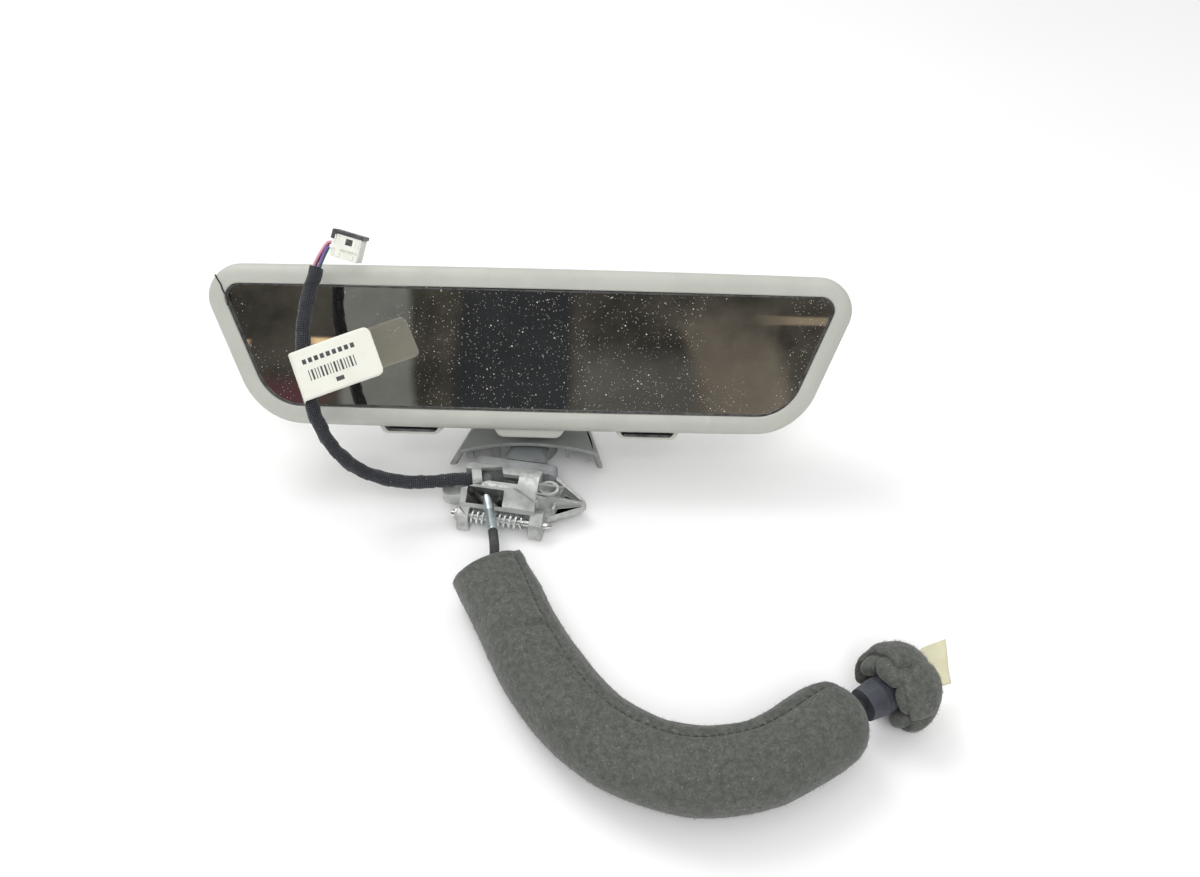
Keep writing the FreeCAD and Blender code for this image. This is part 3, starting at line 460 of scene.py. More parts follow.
@dataclass(frozen=True)
class Silvering:
    """The dimming glass: a dark mirror under dust, smears and finger marks."""

    name: str
    colour: Colour = (0.62, 0.60, 0.56)
    specks: float = 0.3

    def build(self, effects: Effects) -> Material:
        """Make the mirror's material."""
        material, graph, shader = bare_material(self.name)
        where = graph.here()
        fine = place(graph, effects.dust, Scale=1900.0, Specks=self.specks * 1.1, Haze=0.0)
        coarse = place(graph, effects.dust, Scale=700.0, Specks=self.specks * 0.75, Haze=0.0)
        area = graph.span(graph.noise(where, 14.0, 3.0), 0.34, 0.60)
        specks = graph.times(graph.math("MAXIMUM", fine["Mask"], coarse["Mask"]), area)
        smear = graph.span(graph.noise(where, 60.0, 5.0, 0.7, (0.5, 1.0, 0.9)), 0.50, 0.80)
        veil = graph.times(graph.times(smear, area), 0.10)
        cover = graph.plus(graph.times(specks, 0.9), veil, clamp=True)
        graph.feed(shader.inputs["Base Color"], graph.blend(cover, self.colour, DUSTY_GLASS))
        graph.feed(shader.inputs["Metallic"], graph.span(cover, 0.0, 1.0, 1.0, 0.0))
        graph.feed(shader.inputs["Roughness"], graph.span(cover, 0.0, 0.6, 0.015, 0.7))
        return material


@dataclass(frozen=True)
class Paper:
    """Thin label stock or tape that lets some light through."""

    name: str
    colour: Colour
    stain: Colour
    clear: float
    roughness: float = 0.6

    def build(self, effects: Effects) -> Material:
        """Make the material with fibres, faint stains and some light through it."""
        material, graph, shader = bare_material(self.name)
        fibres = place(graph, effects.relief[Pattern.GRAIN], Scale=1500.0)
        mottle = place(graph, effects.mottle, Scale=120.0, Low=0.45, High=0.7)
        share = graph.times(mottle["Mask"], 0.35)
        graph.feed(shader.inputs["Base Color"], graph.blend(share, self.colour, self.stain))
        graph.feed(shader.inputs["Roughness"], graph.span(mottle["Mask"], 0.0, 1.0,
                                                          self.roughness, self.roughness + 0.15))
        graph.feed(shader.inputs["Alpha"], graph.span(mottle["Mask"], 0.0, 1.0,
                                                      1.0 - self.clear, 1.0 - self.clear * 0.7))
        bump(graph, shader, fibres["Height"], 0.00003)
        return material


def bare_material(name: str) -> tuple[Material, Graph, bpy.types.Node]:
    """Start a material with one shader.

    Args:
        name: The material's name.

    Returns:
        The material, its graph and its Principled shader.
    """
    material = bpy.data.materials.new(name)
    material.use_nodes = True
    shader = material.node_tree.nodes["Principled BSDF"]
    return material, Graph(material.node_tree), shader


def place(graph: Graph, group: bpy.types.NodeTree, **values: object) -> Sockets:
    """Put a group in a material, set its inputs and return its outputs."""
    node = graph.add("ShaderNodeGroup", node_tree=group)
    for name, value in values.items():
        graph.feed(node.inputs[name], value)
    return node.outputs


def bump(graph: Graph, shader: bpy.types.Node, height: Socket, depth: float) -> None:
    """Turn a height in the range 0 to 1 into relief of a depth in metres."""
    node = graph.add("ShaderNodeBump")
    node.inputs["Strength"].default_value = 1.0
    node.inputs["Distance"].default_value = depth
    graph.feed(node.inputs["Height"], height)
    graph.feed(shader.inputs["Normal"], node.outputs[0])


class Palette:
    """Every finish of the object, made once and asked for by name."""

    HARD = (
        Finish("head_plastic", (0.500, 0.510, 0.462), (0.40, 0.40, 0.365), (0.66, 0.66, 0.63), 0.5,
               grain_scale=2600.0, stain_share=0.28, wear=0.3, scuffs=0.9, dust=0.06),
        Finish("cover_plastic", (0.235, 0.245, 0.24), (0.19, 0.20, 0.195), (0.55, 0.55, 0.53), 0.48,
               grain_scale=2300.0, wear=0.5, scuffs=0.5),
        Finish("die_cast", (0.44, 0.455, 0.44), (0.30, 0.31, 0.30), (0.78, 0.79, 0.77), 0.46, 0.35,
               Pattern.CASTING, 1500.0, 0.00010, 130.0, 0.75, 0.9, 0.6, 0.12, worn_metal=0.8),
        Finish("neck_cast", (0.33, 0.35, 0.355), (0.17, 0.185, 0.195), (0.55, 0.55, 0.54), 0.5, 0.35,
               Pattern.CASTING, 1200.0, 0.00010, 70.0, 0.9, 0.6, 0.5, 0.12, worn_metal=0.8),
        Finish("ball_steel", (0.42, 0.42, 0.43), (0.30, 0.29, 0.28), (0.7, 0.7, 0.7), 0.3, 1.0,
               Pattern.BRUSHED, 1800.0, 0.00002),
        Finish("zinc_plate", (0.80, 0.83, 0.82), (0.50, 0.53, 0.52), (0.92, 0.93, 0.92), 0.25, 0.72,
               Pattern.BRUSHED, 2400.0, 0.00002, 300.0, 0.6, 0.6, 0.3, 0.05),
        Finish("pin_steel", (0.84, 0.85, 0.84), (0.55, 0.55, 0.52), (0.9, 0.9, 0.88), 0.22, 1.0,
               Pattern.BRUSHED, 2200.0, 0.00002, 250.0, 0.5, 0.6, 0.5, 0.03),
        Finish("ferrule_plate", (0.55, 0.62, 0.65), (0.34, 0.39, 0.42), (0.75, 0.8, 0.82), 0.28, 0.9,
               Pattern.BRUSHED, 2000.0, 0.00002, 350.0, 0.6, 0.7, 0.6, 0.05),
        Finish("contact_brass", (0.70, 0.52, 0.22), (0.45, 0.32, 0.14), (0.9, 0.75, 0.45), 0.3, 1.0),
        Finish("black_rubber", (0.022, 0.022, 0.024), (0.05, 0.05, 0.05), (0.12, 0.12, 0.12), 0.6,
               scuffs=0.2),
        Finish("black_plastic", (0.018, 0.019, 0.022), (0.04, 0.04, 0.043), (0.16, 0.16, 0.16), 0.42),
        Finish("plug_plastic", (0.034, 0.038, 0.054), (0.055, 0.06, 0.08), (0.16, 0.17, 0.19), 0.55,
               stain_share=0.3, wear=0.3),
        Finish("connector_nylon", (0.86, 0.87, 0.80), (0.70, 0.70, 0.60), (0.92, 0.92, 0.88), 0.42,
               grain_scale=1800.0, stain_scale=200.0, stain_share=0.25, scuffs=0.15),
        Finish("solder_mask", (0.03, 0.16, 0.07), (0.02, 0.10, 0.05), (0.5, 0.4, 0.2), 0.3, coat=0.4),
        Finish("foam_grey", (0.20, 0.20, 0.20), (0.12, 0.12, 0.12), (0.3, 0.3, 0.3), 0.9),
        Finish("smoked_lens", (0.05, 0.05, 0.055), (0.08, 0.08, 0.08), (0.3, 0.3, 0.3), 0.12, coat=0.6),
        Finish("violet_wire", (0.20, 0.11, 0.38), (0.14, 0.08, 0.28), (0.4, 0.3, 0.55), 0.45),
        Finish("green_wire", (0.06, 0.26, 0.14), (0.04, 0.18, 0.1), (0.25, 0.45, 0.3), 0.45),
        Finish("pink_wire", (0.68, 0.30, 0.38), (0.5, 0.2, 0.28), (0.8, 0.5, 0.55), 0.45),
        Finish("brown_wire", (0.20, 0.10, 0.06), (0.13, 0.07, 0.04), (0.4, 0.28, 0.2), 0.45),
        Finish("print_ink", (0.035, 0.035, 0.04), (0.08, 0.08, 0.085), (0.3, 0.3, 0.3), 0.6, wear=0.1),
    )
    SOFT = (
        Cloth("loom_cloth", (0.018, 0.020, 0.024), (0.055, 0.058, 0.066), 0.00012, 3600.0, False, 0.25),
        Cloth("felt", (0.066, 0.071, 0.063), (0.140, 0.147, 0.130), 0.00030, 1500.0, True, 0.20),
        Cloth("seam_thread", (0.05, 0.052, 0.048), (0.12, 0.12, 0.11), 0.00010, 2500.0, True, 0.2),
    )
    THIN = (
        Paper("label_paper", (0.80, 0.80, 0.72), (0.70, 0.69, 0.60), 0.0),
        Paper("clear_tape", (0.80, 0.77, 0.52), (0.72, 0.67, 0.42), 0.35, 0.35),
    )

    def __init__(self) -> None:
        """Build the groups and every finish."""
        effects = Effects()
        finishes = (*self.HARD, *self.SOFT, *self.THIN, Silvering("mirror_silver"),
                    Silvering("rear_silver", specks=0.05))
        self.made = {finish.name: finish.build(effects) for finish in finishes}

    def __getitem__(self, name: str) -> Material:
        """The material of that name."""
        return self.made[name]


# ---- mesh helpers -------------------------------------------------------------------------------
def linked(name: str, data: bpy.types.ID) -> Piece:
    """A new object of some data, linked to the scene."""
    made = bpy.data.objects.new(name, data)
    bpy.context.scene.collection.objects.link(made)
    return made


def new_piece(name: str, points: Sequence[Sequence[float]], faces: Sequence[Sequence[int]],
              material: Material, smooth: float | None = 40.0) -> Piece:
    """Make a mesh object that sits at the origin.

    Args:
        name: The piece's name.
        points: Its vertices in the row frame, in metres.
        faces: Its faces, outwards by the right-hand rule or put right here.
        material: Its finish.
        smooth: The angle in degrees under which edges are smooth, or None for flat faces.

    Returns:
        The new object, linked to the scene.
    """
    mesh = bpy.data.meshes.new(name)
    mesh.from_pydata([tuple(p) for p in points], [], [tuple(f) for f in faces])
    tidy(mesh)
    mesh.materials.append(material)
    soften(mesh, smooth)
    return linked(name, mesh)


def tidy(mesh: bpy.types.Mesh) -> None:
    """Merge doubles and point every face outwards."""
    work = bmesh.new()
    work.from_mesh(mesh)
    bmesh.ops.remove_doubles(work, verts=work.verts, dist=1e-6)
    bmesh.ops.recalc_face_normals(work, faces=work.faces)
    work.to_mesh(mesh)
    work.free()


def soften(mesh: bpy.types.Mesh, angle: float | None) -> None:
    """Shade a mesh smooth, with edges over the angle kept sharp."""
    if angle is None:
        return
    mesh.shade_smooth()
    mesh.set_sharp_from_angle(angle=math.radians(angle))


def bevelled(piece: Piece, width: float, segments: int = 2) -> None:
    """Round the sharp edges of a piece by a small width."""
    bevel = piece.modifiers.new("edge", "BEVEL")
    bevel.width, bevel.segments = width, segments
    bevel.limit_method, bevel.angle_limit = "ANGLE", math.radians(35)
    bevel.use_clamp_overlap = False
    bevel.harden_normals = True


def settle(piece: Piece) -> None:
    """Apply a piece's modifiers to its mesh."""
    evaluated = piece.evaluated_get(bpy.context.evaluated_depsgraph_get())
    mesh = bpy.data.meshes.new_from_object(evaluated)
    piece.modifiers.clear()
    piece.data = mesh


def hold(piece: Piece, body: Body, slot: str, *nodes: str) -> Piece:
    """Ride a piece on a body and hide the CAD nodes that it stands for."""
    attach(piece, body.value)
    if nodes:
        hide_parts(*nodes)
    LOG.info("piece %s on %s", piece.name, body.value)
    return piece


def carried(node: str, material: Material, edge: float = 0.0, angle: float = 30.0,
            shape: Callable[[bmesh.types.BMesh], None] | None = None) -> Piece:
    """Make a finished copy of a CAD node, with merged corners and rounded edges.

    Args:
        node: The CAD node's name.
        material: Its finish.
        edge: The radius of its edges, in metres.
        angle: The angle in degrees over which an edge counts as sharp.
        shape: A change made to the copy before its edges are rounded.

    Returns:
        The copy, which still has to be held by a body.
    """
    work = bmesh.new()
    work.from_mesh(frame["nodes"][node].data)
    bmesh.ops.remove_doubles(work, verts=work.verts, dist=2e-6)
    bmesh.ops.dissolve_limit(work, angle_limit=math.radians(0.4), verts=work.verts, edges=work.edges)
    if shape is not None:
        shape(work)
    name = f"{node}_finished"
    mesh = bpy.data.meshes.new(name)
    work.to_mesh(mesh)
    work.free()
    mesh.materials.clear()
    mesh.materials.append(material)
    soften(mesh, angle)
    piece = linked(name, mesh)
    if edge:
        bevelled(piece, edge)
        settle(piece)
    return piece


def spline_points(route: Sequence[Point], steps: int = 16) -> list[Vector]:
    """Points along the smooth line of a route.

    Args:
        route: Control points in metres.
        steps: Points for each stretch of the spline.

    Returns:
        Points read from the spline's own evaluated line.
    """
    curve = bpy.data.curves.new("line", "CURVE")
    curve.dimensions = "3D"
    spline = curve.splines.new("NURBS")
    spline.points.add(len(route) - 1)
    for target, point in zip(spline.points, route):
        target.co = (*point, 1.0)
    spline.order_u = 3
    spline.use_endpoint_u = True
    curve.resolution_u = steps
    line = linked("line", curve)
    mesh = bpy.data.meshes.new_from_object(line.evaluated_get(bpy.context.evaluated_depsgraph_get()))
    points = [v.co.copy() for v in mesh.vertices]
    bpy.data.objects.remove(line)
    bpy.data.meshes.remove(mesh)
    return points


def along(points: Sequence[Vector]) -> list[float]:
    """How far along a line each of its points is."""
    total, reached = 0.0, [0.0]
    for a, b in zip(points, points[1:]):
        total += (b - a).length
        reached.append(total)
    return reached


def frames_on(points: Sequence[Vector]) -> list[tuple[Vector, Vector, Vector]]:
    """The direction, side and upward vector at each point of a line."""
    found = []
    side = None
    for i in range(len(points)):
        ahead = (points[min(i + 1, len(points) - 1)] - points[max(i - 1, 0)]).normalized()
        if side is None:
            start = Vector((0, 0, 1)) if abs(ahead.z) < 0.9 else Vector((0, 1, 0))
            side = ahead.cross(start).normalized()
        side = (side - ahead * side.dot(ahead)).normalized()
        found.append((ahead, side, side.cross(ahead)))
    return found


def tube_faces(rings: int, around: int, hollow: bool = False) -> list[tuple]:
    """Faces that join rings of points into a tube.

    Args:
        rings: How many rings there are.
        around: Points in each ring.
        hollow: Whether the last ring joins the first, in place of the two end faces.

    Returns:
        The faces, with the end faces last.
    """
    faces = []
    for i in range(rings if hollow else rings - 1):
        m = (i + 1) % rings
        for k in range(around):
            n = (k + 1) % around
            faces.append((i * around + k, i * around + n, m * around + n, m * around + k))
    if not hollow:
        faces.append(tuple(reversed(range(around))))
        faces.append(tuple((rings - 1) * around + k for k in range(around)))
    return faces


def grid(columns: int, rows: int, point: Callable[[float, float], Vector]) -> Shape:
    """A sheet of points, given by the shares of its width and height, with its faces."""
    verts = [point(i / columns, j / rows) for i in range(columns + 1) for j in range(rows + 1)]
    faces = []
    for i in range(columns):
        for j in range(rows):
            a = i * (rows + 1) + j
            faces.append((a, a + rows + 1, a + rows + 2, a + 1))
    return verts, faces


def sweep(name: str, points: Sequence[Vector], radius: Callable[[float, float], float],
          material: Material, around: int = 32) -> Piece:
    """Make a tube along a line, closed at both ends, with a map in metres for its cloth.

    Args:
        name: The piece's name.
        points: The line's points.
        radius: The tube's radius from the distance along it and the angle round it.
        material: Its finish.
        around: Points round the tube.

    Returns:
        The tube.
    """
    reached, frames = along(points), frames_on(points)
    verts = []
    for centre, far, (_, side, up) in zip(points, reached, frames):
        for k in range(around):
            turn = math.tau * k / around
            reach = radius(far, turn)
            verts.append(centre + side * (math.cos(turn) * reach) + up * (math.sin(turn) * reach))
    mesh = bpy.data.meshes.new(name)
    mesh.from_pydata([tuple(v) for v in verts], [], tube_faces(len(points), around))
    layer = mesh.uv_layers.new(name="cloth")
    girth = math.tau * radius(reached[-1] / 2, 0.0)
    for face in mesh.polygons:
        for loop in face.loop_indices:
            index = mesh.loops[loop].vertex_index
            ring, k = divmod(index, around)
            turn = 1.0 if k == 0 and is_last(face, around) else k / around
            layer.data[loop].uv = (reached[ring], turn * girth)
    mesh.materials.append(material)
    soften(mesh, 50.0)
    return linked(name, mesh)


def is_last(face: bpy.types.MeshPolygon, around: int) -> bool:
    """Whether a tube's face is the one that closes the ring."""
    return any(index % around == around - 1 for index in face.vertices)


def turned(x: float, r: float, turn: float) -> Vector:
    """A point of a profile turned about X."""
    return Vector((x, r * math.cos(turn), r * math.sin(turn)))


def lathe(profile: Outline, around: int = 48, hollow: bool = False,
          point: Callable[[float, float, float], Vector] = turned) -> Shape:
    """Turn a profile about X.

    Args:
        profile: Pairs of the distance along X and the radius.
        around: Points round the axis.
        hollow: Whether the profile closes on itself, or is closed by its two ends.
        point: Where a point goes, from its distance along, its radius and its angle.

    Returns:
        The corners and faces.
    """
    verts = [point(x, r, math.tau * k / around) for x, r in profile for k in range(around)]
    return verts, tube_faces(len(profile), around, hollow)


def set_piece(name: str, shape: Shape, place_at: Matrix, material: Material,
              smooth: float | None = 40.0) -> Piece:
    """Make a mesh object of corners and faces that a matrix sets in place."""
    verts, faces = shape
    return new_piece(name, [place_at @ v for v in verts], faces, material, smooth)


def thicken(sheet: Piece, thickness: float) -> None:
    """Give a sheet its thickness, half of it to each side."""
    solid = sheet.modifiers.new("sheet", "SOLIDIFY")
    solid.thickness, solid.offset = thickness, 0.0
    settle(sheet)


def facing(start: Vector, ahead: Vector, up: Vector = Vector((0, 0, 1))) -> Matrix:
    """A frame at a point whose X axis points ahead."""
    x = ahead.normalized()
    y = up.cross(x).normalized()
    z = x.cross(y)
    turn = Matrix((x, y, z)).transposed().to_4x4()
    return Matrix.Translation(start) @ turn


def solid_box(low: Point, high: Point) -> Shape:
    """The corners, in metres, and the faces of a block between two corners in millimetres."""
    verts = [Vector((x * MM, y * MM, z * MM)) for x in (low[0], high[0]) for y in (low[1], high[1])
             for z in (low[2], high[2])]
    faces = [(0, 1, 3, 2), (4, 6, 7, 5), (0, 4, 5, 1), (2, 3, 7, 6), (0, 2, 6, 4), (1, 5, 7, 3)]
    return verts, faces


def joined(parts: Iterable[Shape]) -> Shape:
    """Several sets of corners and faces as one."""
    verts: list[Vector] = []
    faces: list[tuple] = []
    for points, loops in parts:
        start = len(verts)
        verts.extend(points)
        faces.extend(tuple(i + start for i in loop) for loop in loops)
    return verts, faces


# ---- geometry node trees ------------------------------------------------------------------------
class NodeShape:
    """A geometry tree with named inputs that is run once and turned into a plain mesh."""

    def __init__(self, name: str, inputs: dict[str, tuple[str, object]]) -> None:
        """Start the tree with its inputs, given as socket type and usual value."""
        self.tree = bpy.data.node_groups.new(name, "GeometryNodeTree")
        self.tree.interface.new_socket("Geometry", in_out="INPUT", socket_type="NodeSocketGeometry")
        self.ids = {}
        for label, (kind, value) in inputs.items():
            socket = self.tree.interface.new_socket(label, in_out="INPUT", socket_type=kind)
            if value is not None:
                socket.default_value = value
            self.ids[label] = socket.identifier
        self.tree.interface.new_socket("Geometry", in_out="OUTPUT", socket_type="NodeSocketGeometry")
        self.graph = Graph(self.tree)
        self.given = self.graph.add("NodeGroupInput").outputs
        self.out = self.graph.add("NodeGroupOutput")

    def close(self, shape: Socket, material: Socket) -> None:
        """End the tree in real geometry with its finish set."""
        real = self.graph.add("GeometryNodeRealizeInstances")
        self.graph.feed(real.inputs[0], shape)
        dressed = self.graph.add("GeometryNodeSetMaterial")
        self.graph.feed(dressed.inputs["Geometry"], real.outputs[0])
        self.graph.feed(dressed.inputs["Material"], material)
        self.graph.feed(self.out.inputs[0], dressed.outputs[0])

    def run(self, name: str, base: bpy.types.Mesh, values: dict[str, object],
            angle: float = 40.0) -> Piece:
        """Run the tree on a mesh.

        Args:
            name: The new piece's name.
            base: The mesh that the tree starts from.
            values: Values for the named inputs.
            angle: The smooth angle of the result, in degrees.

        Returns:
            A plain mesh object.
        """
        piece = linked(name, base)
        modifier = piece.modifiers.new("shape", "NODES")
        modifier.node_group = self.tree
        for label, value in values.items():
            modifier[self.ids[label]] = value
        settle(piece)
        piece.data.name = name
        soften(piece.data, angle)
        return piece


class CoilTree(NodeShape):
    """A helical spring about X, from its turns, length and wire."""

    def __init__(self) -> None:
        """Build the tree."""
        super().__init__("coil", {"Turns": ("NodeSocketFloat", 8.0), "Length": ("NodeSocketFloat", 0.02),
                                  "Coil radius": ("NodeSocketFloat", 0.0025),
                                  "Wire radius": ("NodeSocketFloat", 0.0005),
                                  "Material": ("NodeSocketMaterial", None)})
        graph, given = self.graph, self.given
        spiral = graph.add("GeometryNodeCurveSpiral")
        spiral.inputs["Resolution"].default_value = 36
        graph.feed(spiral.inputs["Rotations"], given["Turns"])
        graph.feed(spiral.inputs["Start Radius"], given["Coil radius"])
        graph.feed(spiral.inputs["End Radius"], given["Coil radius"])
        graph.feed(spiral.inputs["Height"], given["Length"])
        ring = graph.add("GeometryNodeCurvePrimitiveCircle", mode="RADIUS")
        ring.inputs["Resolution"].default_value = 14
        graph.feed(ring.inputs["Radius"], given["Wire radius"])
        wire = graph.add("GeometryNodeCurveToMesh")
        wire.inputs["Fill Caps"].default_value = True
        graph.feed(wire.inputs["Curve"], spiral.outputs[0])
        graph.feed(wire.inputs["Profile Curve"], ring.outputs[0])
        self.close(wire.outputs[0], given["Material"])


class ScatterTree(NodeShape):
    """A small shape repeated at each point of a mesh, turned by the point's own attributes."""

    def __init__(self) -> None:
        """Build the tree."""
        super().__init__("repeat", {"Shape": ("NodeSocketObject", None), "Size": ("NodeSocketFloat", 1.0),
                                    "Vary": ("NodeSocketFloat", 0.0), "Seed": ("NodeSocketInt", 3),
                                    "Material": ("NodeSocketMaterial", None)})
        graph, given = self.graph, self.given
        info = graph.add("GeometryNodeObjectInfo")
        graph.feed(info.inputs[0], given["Shape"])
        turn = graph.add("GeometryNodeInputNamedAttribute", data_type="FLOAT_VECTOR")
        turn.inputs[0].default_value = "turn"
        rotation = graph.add("FunctionNodeEulerToRotation")
        graph.feed(rotation.inputs[0], turn.outputs[0])
        chance = graph.add("FunctionNodeRandomValue", data_type="FLOAT")
        graph.feed(chance.inputs[2], graph.math("SUBTRACT", given["Size"], given["Vary"]))
        graph.feed(chance.inputs[3], graph.plus(given["Size"], given["Vary"]))
        graph.feed(chance.inputs["Seed"], given["Seed"])
        copies = graph.add("GeometryNodeInstanceOnPoints")
        graph.feed(copies.inputs["Points"], given["Geometry"])
        graph.feed(copies.inputs["Instance"], info.outputs["Geometry"])
        graph.feed(copies.inputs["Rotation"], rotation.outputs[0])
        graph.feed(copies.inputs["Scale"], chance.outputs[1])
        self.close(copies.outputs[0], given["Material"])

    def repeat(self, name: str, shape: Piece, places: Sequence[Matrix],
               material: Material, vary: float = 0.0, seed: int = 3) -> Piece:
        """Repeat a shape at places.

        Args:
            name: The new piece's name.
            shape: The object to repeat, which is removed afterwards.
            places: Where each copy goes.
            material: Its finish.
            vary: How far the size varies each way.
            seed: The seed of that variation.

        Returns:
            One mesh with every copy.
        """
        mesh = bpy.data.meshes.new(f"{name}_places")
        mesh.from_pydata([m.to_translation() for m in places], [], [])
        turns = mesh.attributes.new("turn", "FLOAT_VECTOR", "POINT")
        for item, matrix in zip(turns.data, places):
            item.vector = matrix.to_euler()
        piece = self.run(name, mesh, {"Shape": shape, "Size": 1.0, "Vary": vary, "Seed": seed,
                                      "Material": material})
        bpy.data.objects.remove(shape)
        return piece


# ---- studio -------------------------------------------------------------------------------------
@dataclass(frozen=True)
class RoomShape:
    """One plain shape on the wall that the glass reflects."""

    middle: tuple[float, float]
    half: tuple[float, float]
    colour: Colour
    softness: float = 0.12
    lean: float = 0.0
    ripple: float = 0.25


@dataclass
class Studio:
    """Camera, pale floor, soft lights and the dim room that only the glass reflects."""

    eye: Vector = field(default_factory=lambda: Vector((29.4, -329.0, 294.0)) * MM)
    look_down: float = 40.0
    roll: float = 1.4
    lens: float = 30.3
    sensor: float = 36.0
    floor_half: float = 6.0
    wall_at: float = -1.7
    wall_half: float = 5.0
    wall_low: float = -0.3
    ROOM: ClassVar = (
        RoomShape((-0.17, 0.90), (0.13, 0.60), (0.050, 0.054, 0.060), 0.12),
        RoomShape((-0.38, 0.80), (0.08, 0.60), (0.27, 0.28, 0.27), 0.16, 0.12),
        RoomShape((0.12, 0.60), (0.14, 0.24), (0.15, 0.15, 0.14), 0.20),
        RoomShape((0.52, 0.60), (0.10, 0.30), (0.27, 0.24, 0.20), 0.35, 0.22, 0.6),
        RoomShape((0.60, 0.94), (0.17, 0.010), (0.42, 0.35, 0.26), 0.4, 0.0, 0.1),
        RoomShape((-0.79, 0.85), (0.018, 0.008), (1.4, 1.0, 0.6), 0.6, 0.0, 0.1),
        RoomShape((-0.60, 0.86), (0.032, 0.008), (1.4, 1.0, 0.6), 0.6, 0.0, 0.1),
        RoomShape((-0.66, 0.71), (0.07, 0.05), (0.15, 0.07, 0.078), 0.6, 0.0, 0.5),
    )

    def build(self) -> None:
        """Make the camera first, then the floor, the lights and the room."""
        self._camera()
        self._floor()
        self._lights()
        self._room()

    def _camera(self) -> None:
        """Set the camera by its eye point, tilt and roll."""
        down, roll = math.radians(self.look_down), math.radians(self.roll)
        level, rise = Vector((1, 0, 0)), Vector((0, math.sin(down), math.cos(down)))
        right = level * math.cos(roll) + rise * math.sin(roll)
        up = rise * math.cos(roll) - level * math.sin(roll)
        back = right.cross(up)
        data = bpy.data.cameras.new("camera")
        data.lens, data.sensor_width = self.lens, self.sensor
        data.clip_start, data.clip_end = 0.01, 50.0
        camera = linked("camera", data)
        camera.matrix_world = Matrix.Translation(self.eye) @ Matrix((right, up, back)).transposed().to_4x4()
        bpy.context.scene.camera = camera

    def _floor(self) -> None:
        """A wide pale sheet just under the mirror."""
        material, graph, shader = bare_material("floor_paper")
        where = graph.here()
        cloud = graph.noise(where, 6.0, 3.0)
        graph.feed(shader.inputs["Base Color"], graph.blend(cloud, (0.93, 0.93, 0.93), (0.96, 0.96, 0.96)))
        shader.inputs["Roughness"].default_value = 0.9
        shader.inputs["Specular IOR Level"].default_value = 0.1
        half = self.floor_half
        floor = new_piece("floor", [(-half, -half, 0), (half, -half, 0), (half, half, 0), (-half, half, 0)],
                          [(0, 1, 2, 3)], material, None)

    def _lights(self) -> None:
        """White surroundings that darken sideways and downwards, a key light and a fill light."""
        scene = bpy.context.scene
        scene.view_settings.view_transform = "Standard"
        world = bpy.data.worlds.new("studio")
        scene.world = world
        world.use_nodes = True
        graph = Graph(world.node_tree)
        parts = graph.split(graph.add("ShaderNodeTexCoord").outputs["Generated"])
        high = graph.span(parts[2], 0.0, 0.9, 0.50, 1.06)
        aside = graph.span(graph.math("ABSOLUTE", parts[0]), 0.1, 0.9, 1.0, 0.48)
        sky = world.node_tree.nodes["Background"]
        sky.inputs[0].default_value = (1.0, 1.0, 1.0, 1.0)
        graph.feed(sky.inputs[1], graph.times(high, aside))
        for name, place_at, size, power in (("key", (-0.60, 0.60, 1.25), 0.7, 7.0),
                                            ("fill", (0.05, -0.95, 1.0), 0.6, 6.0)):
            data = bpy.data.lights.new(name, "AREA")
            data.size, data.energy = size, power
            lamp = linked(name, data)
            lamp.location = place_at
            towards = Vector(LIT_SPOT) - Vector(place_at)
            lamp.rotation_euler = towards.to_track_quat("-Z", "Y").to_euler()

    def _room(self) -> None:
        """A dim wall far in front, seen only in reflections, with soft plain shapes on it."""
        material, graph, shader = bare_material("room_wall")
        where = graph.here()
        parts = graph.split(where)
        cloud = graph.span(graph.noise(where, 5.0, 5.0, 0.65), 0.3, 0.72)
        colour = graph.blend(cloud, (0.040, 0.038, 0.034), (0.115, 0.108, 0.095))
        for shape in self.ROOM:
            mask = self._patch(graph, where, parts, shape)
            speckle = graph.blend(cloud, tuple(c * 0.72 for c in shape.colour), shape.colour)
            colour = graph.blend(mask, colour, speckle)
        graph.feed(shader.inputs["Emission Color"], colour)
        shader.inputs["Emission Strength"].default_value = 1.0
        shader.inputs["Base Color"].default_value = (0, 0, 0, 1)
        shader.inputs["Specular IOR Level"].default_value = 0.0
        half, y, low = self.wall_half, self.wall_at, self.wall_low
        corners = [(-half, y, low), (half, y, low), (half, y, half), (-half, y, half)]
        wall = new_piece("room_wall", corners, [(3, 2, 1, 0)], material, None)
        wall.visible_camera = False
        wall.visible_diffuse = False
        wall.visible_shadow = False
        wall.visible_transmission = False

    def _patch(self, graph: Graph, where: Socket, parts: Sockets, shape: RoomShape) -> Socket:
        """A mask of one soft-edged shape on the wall."""
        ripple = graph.times(graph.math("SUBTRACT", graph.noise(where, 9.0, 3.0), 0.5), shape.ripple)
        leant = graph.plus(parts[0], graph.times(parts[2], shape.lean))
        reaches = []
        for value, middle, half in ((leant, shape.middle[0], shape.half[0]),
                                    (parts[2], shape.middle[1], shape.half[1])):
            gap = graph.math("ABSOLUTE", graph.math("SUBTRACT", value, middle))
            reaches.append(graph.math("DIVIDE", gap, half))
        reach = graph.plus(graph.math("MAXIMUM", reaches[0], reaches[1]), ripple)
        return graph.span(reach, 1.0 - shape.softness, 1.0 + shape.softness, 1.0, 0.0)


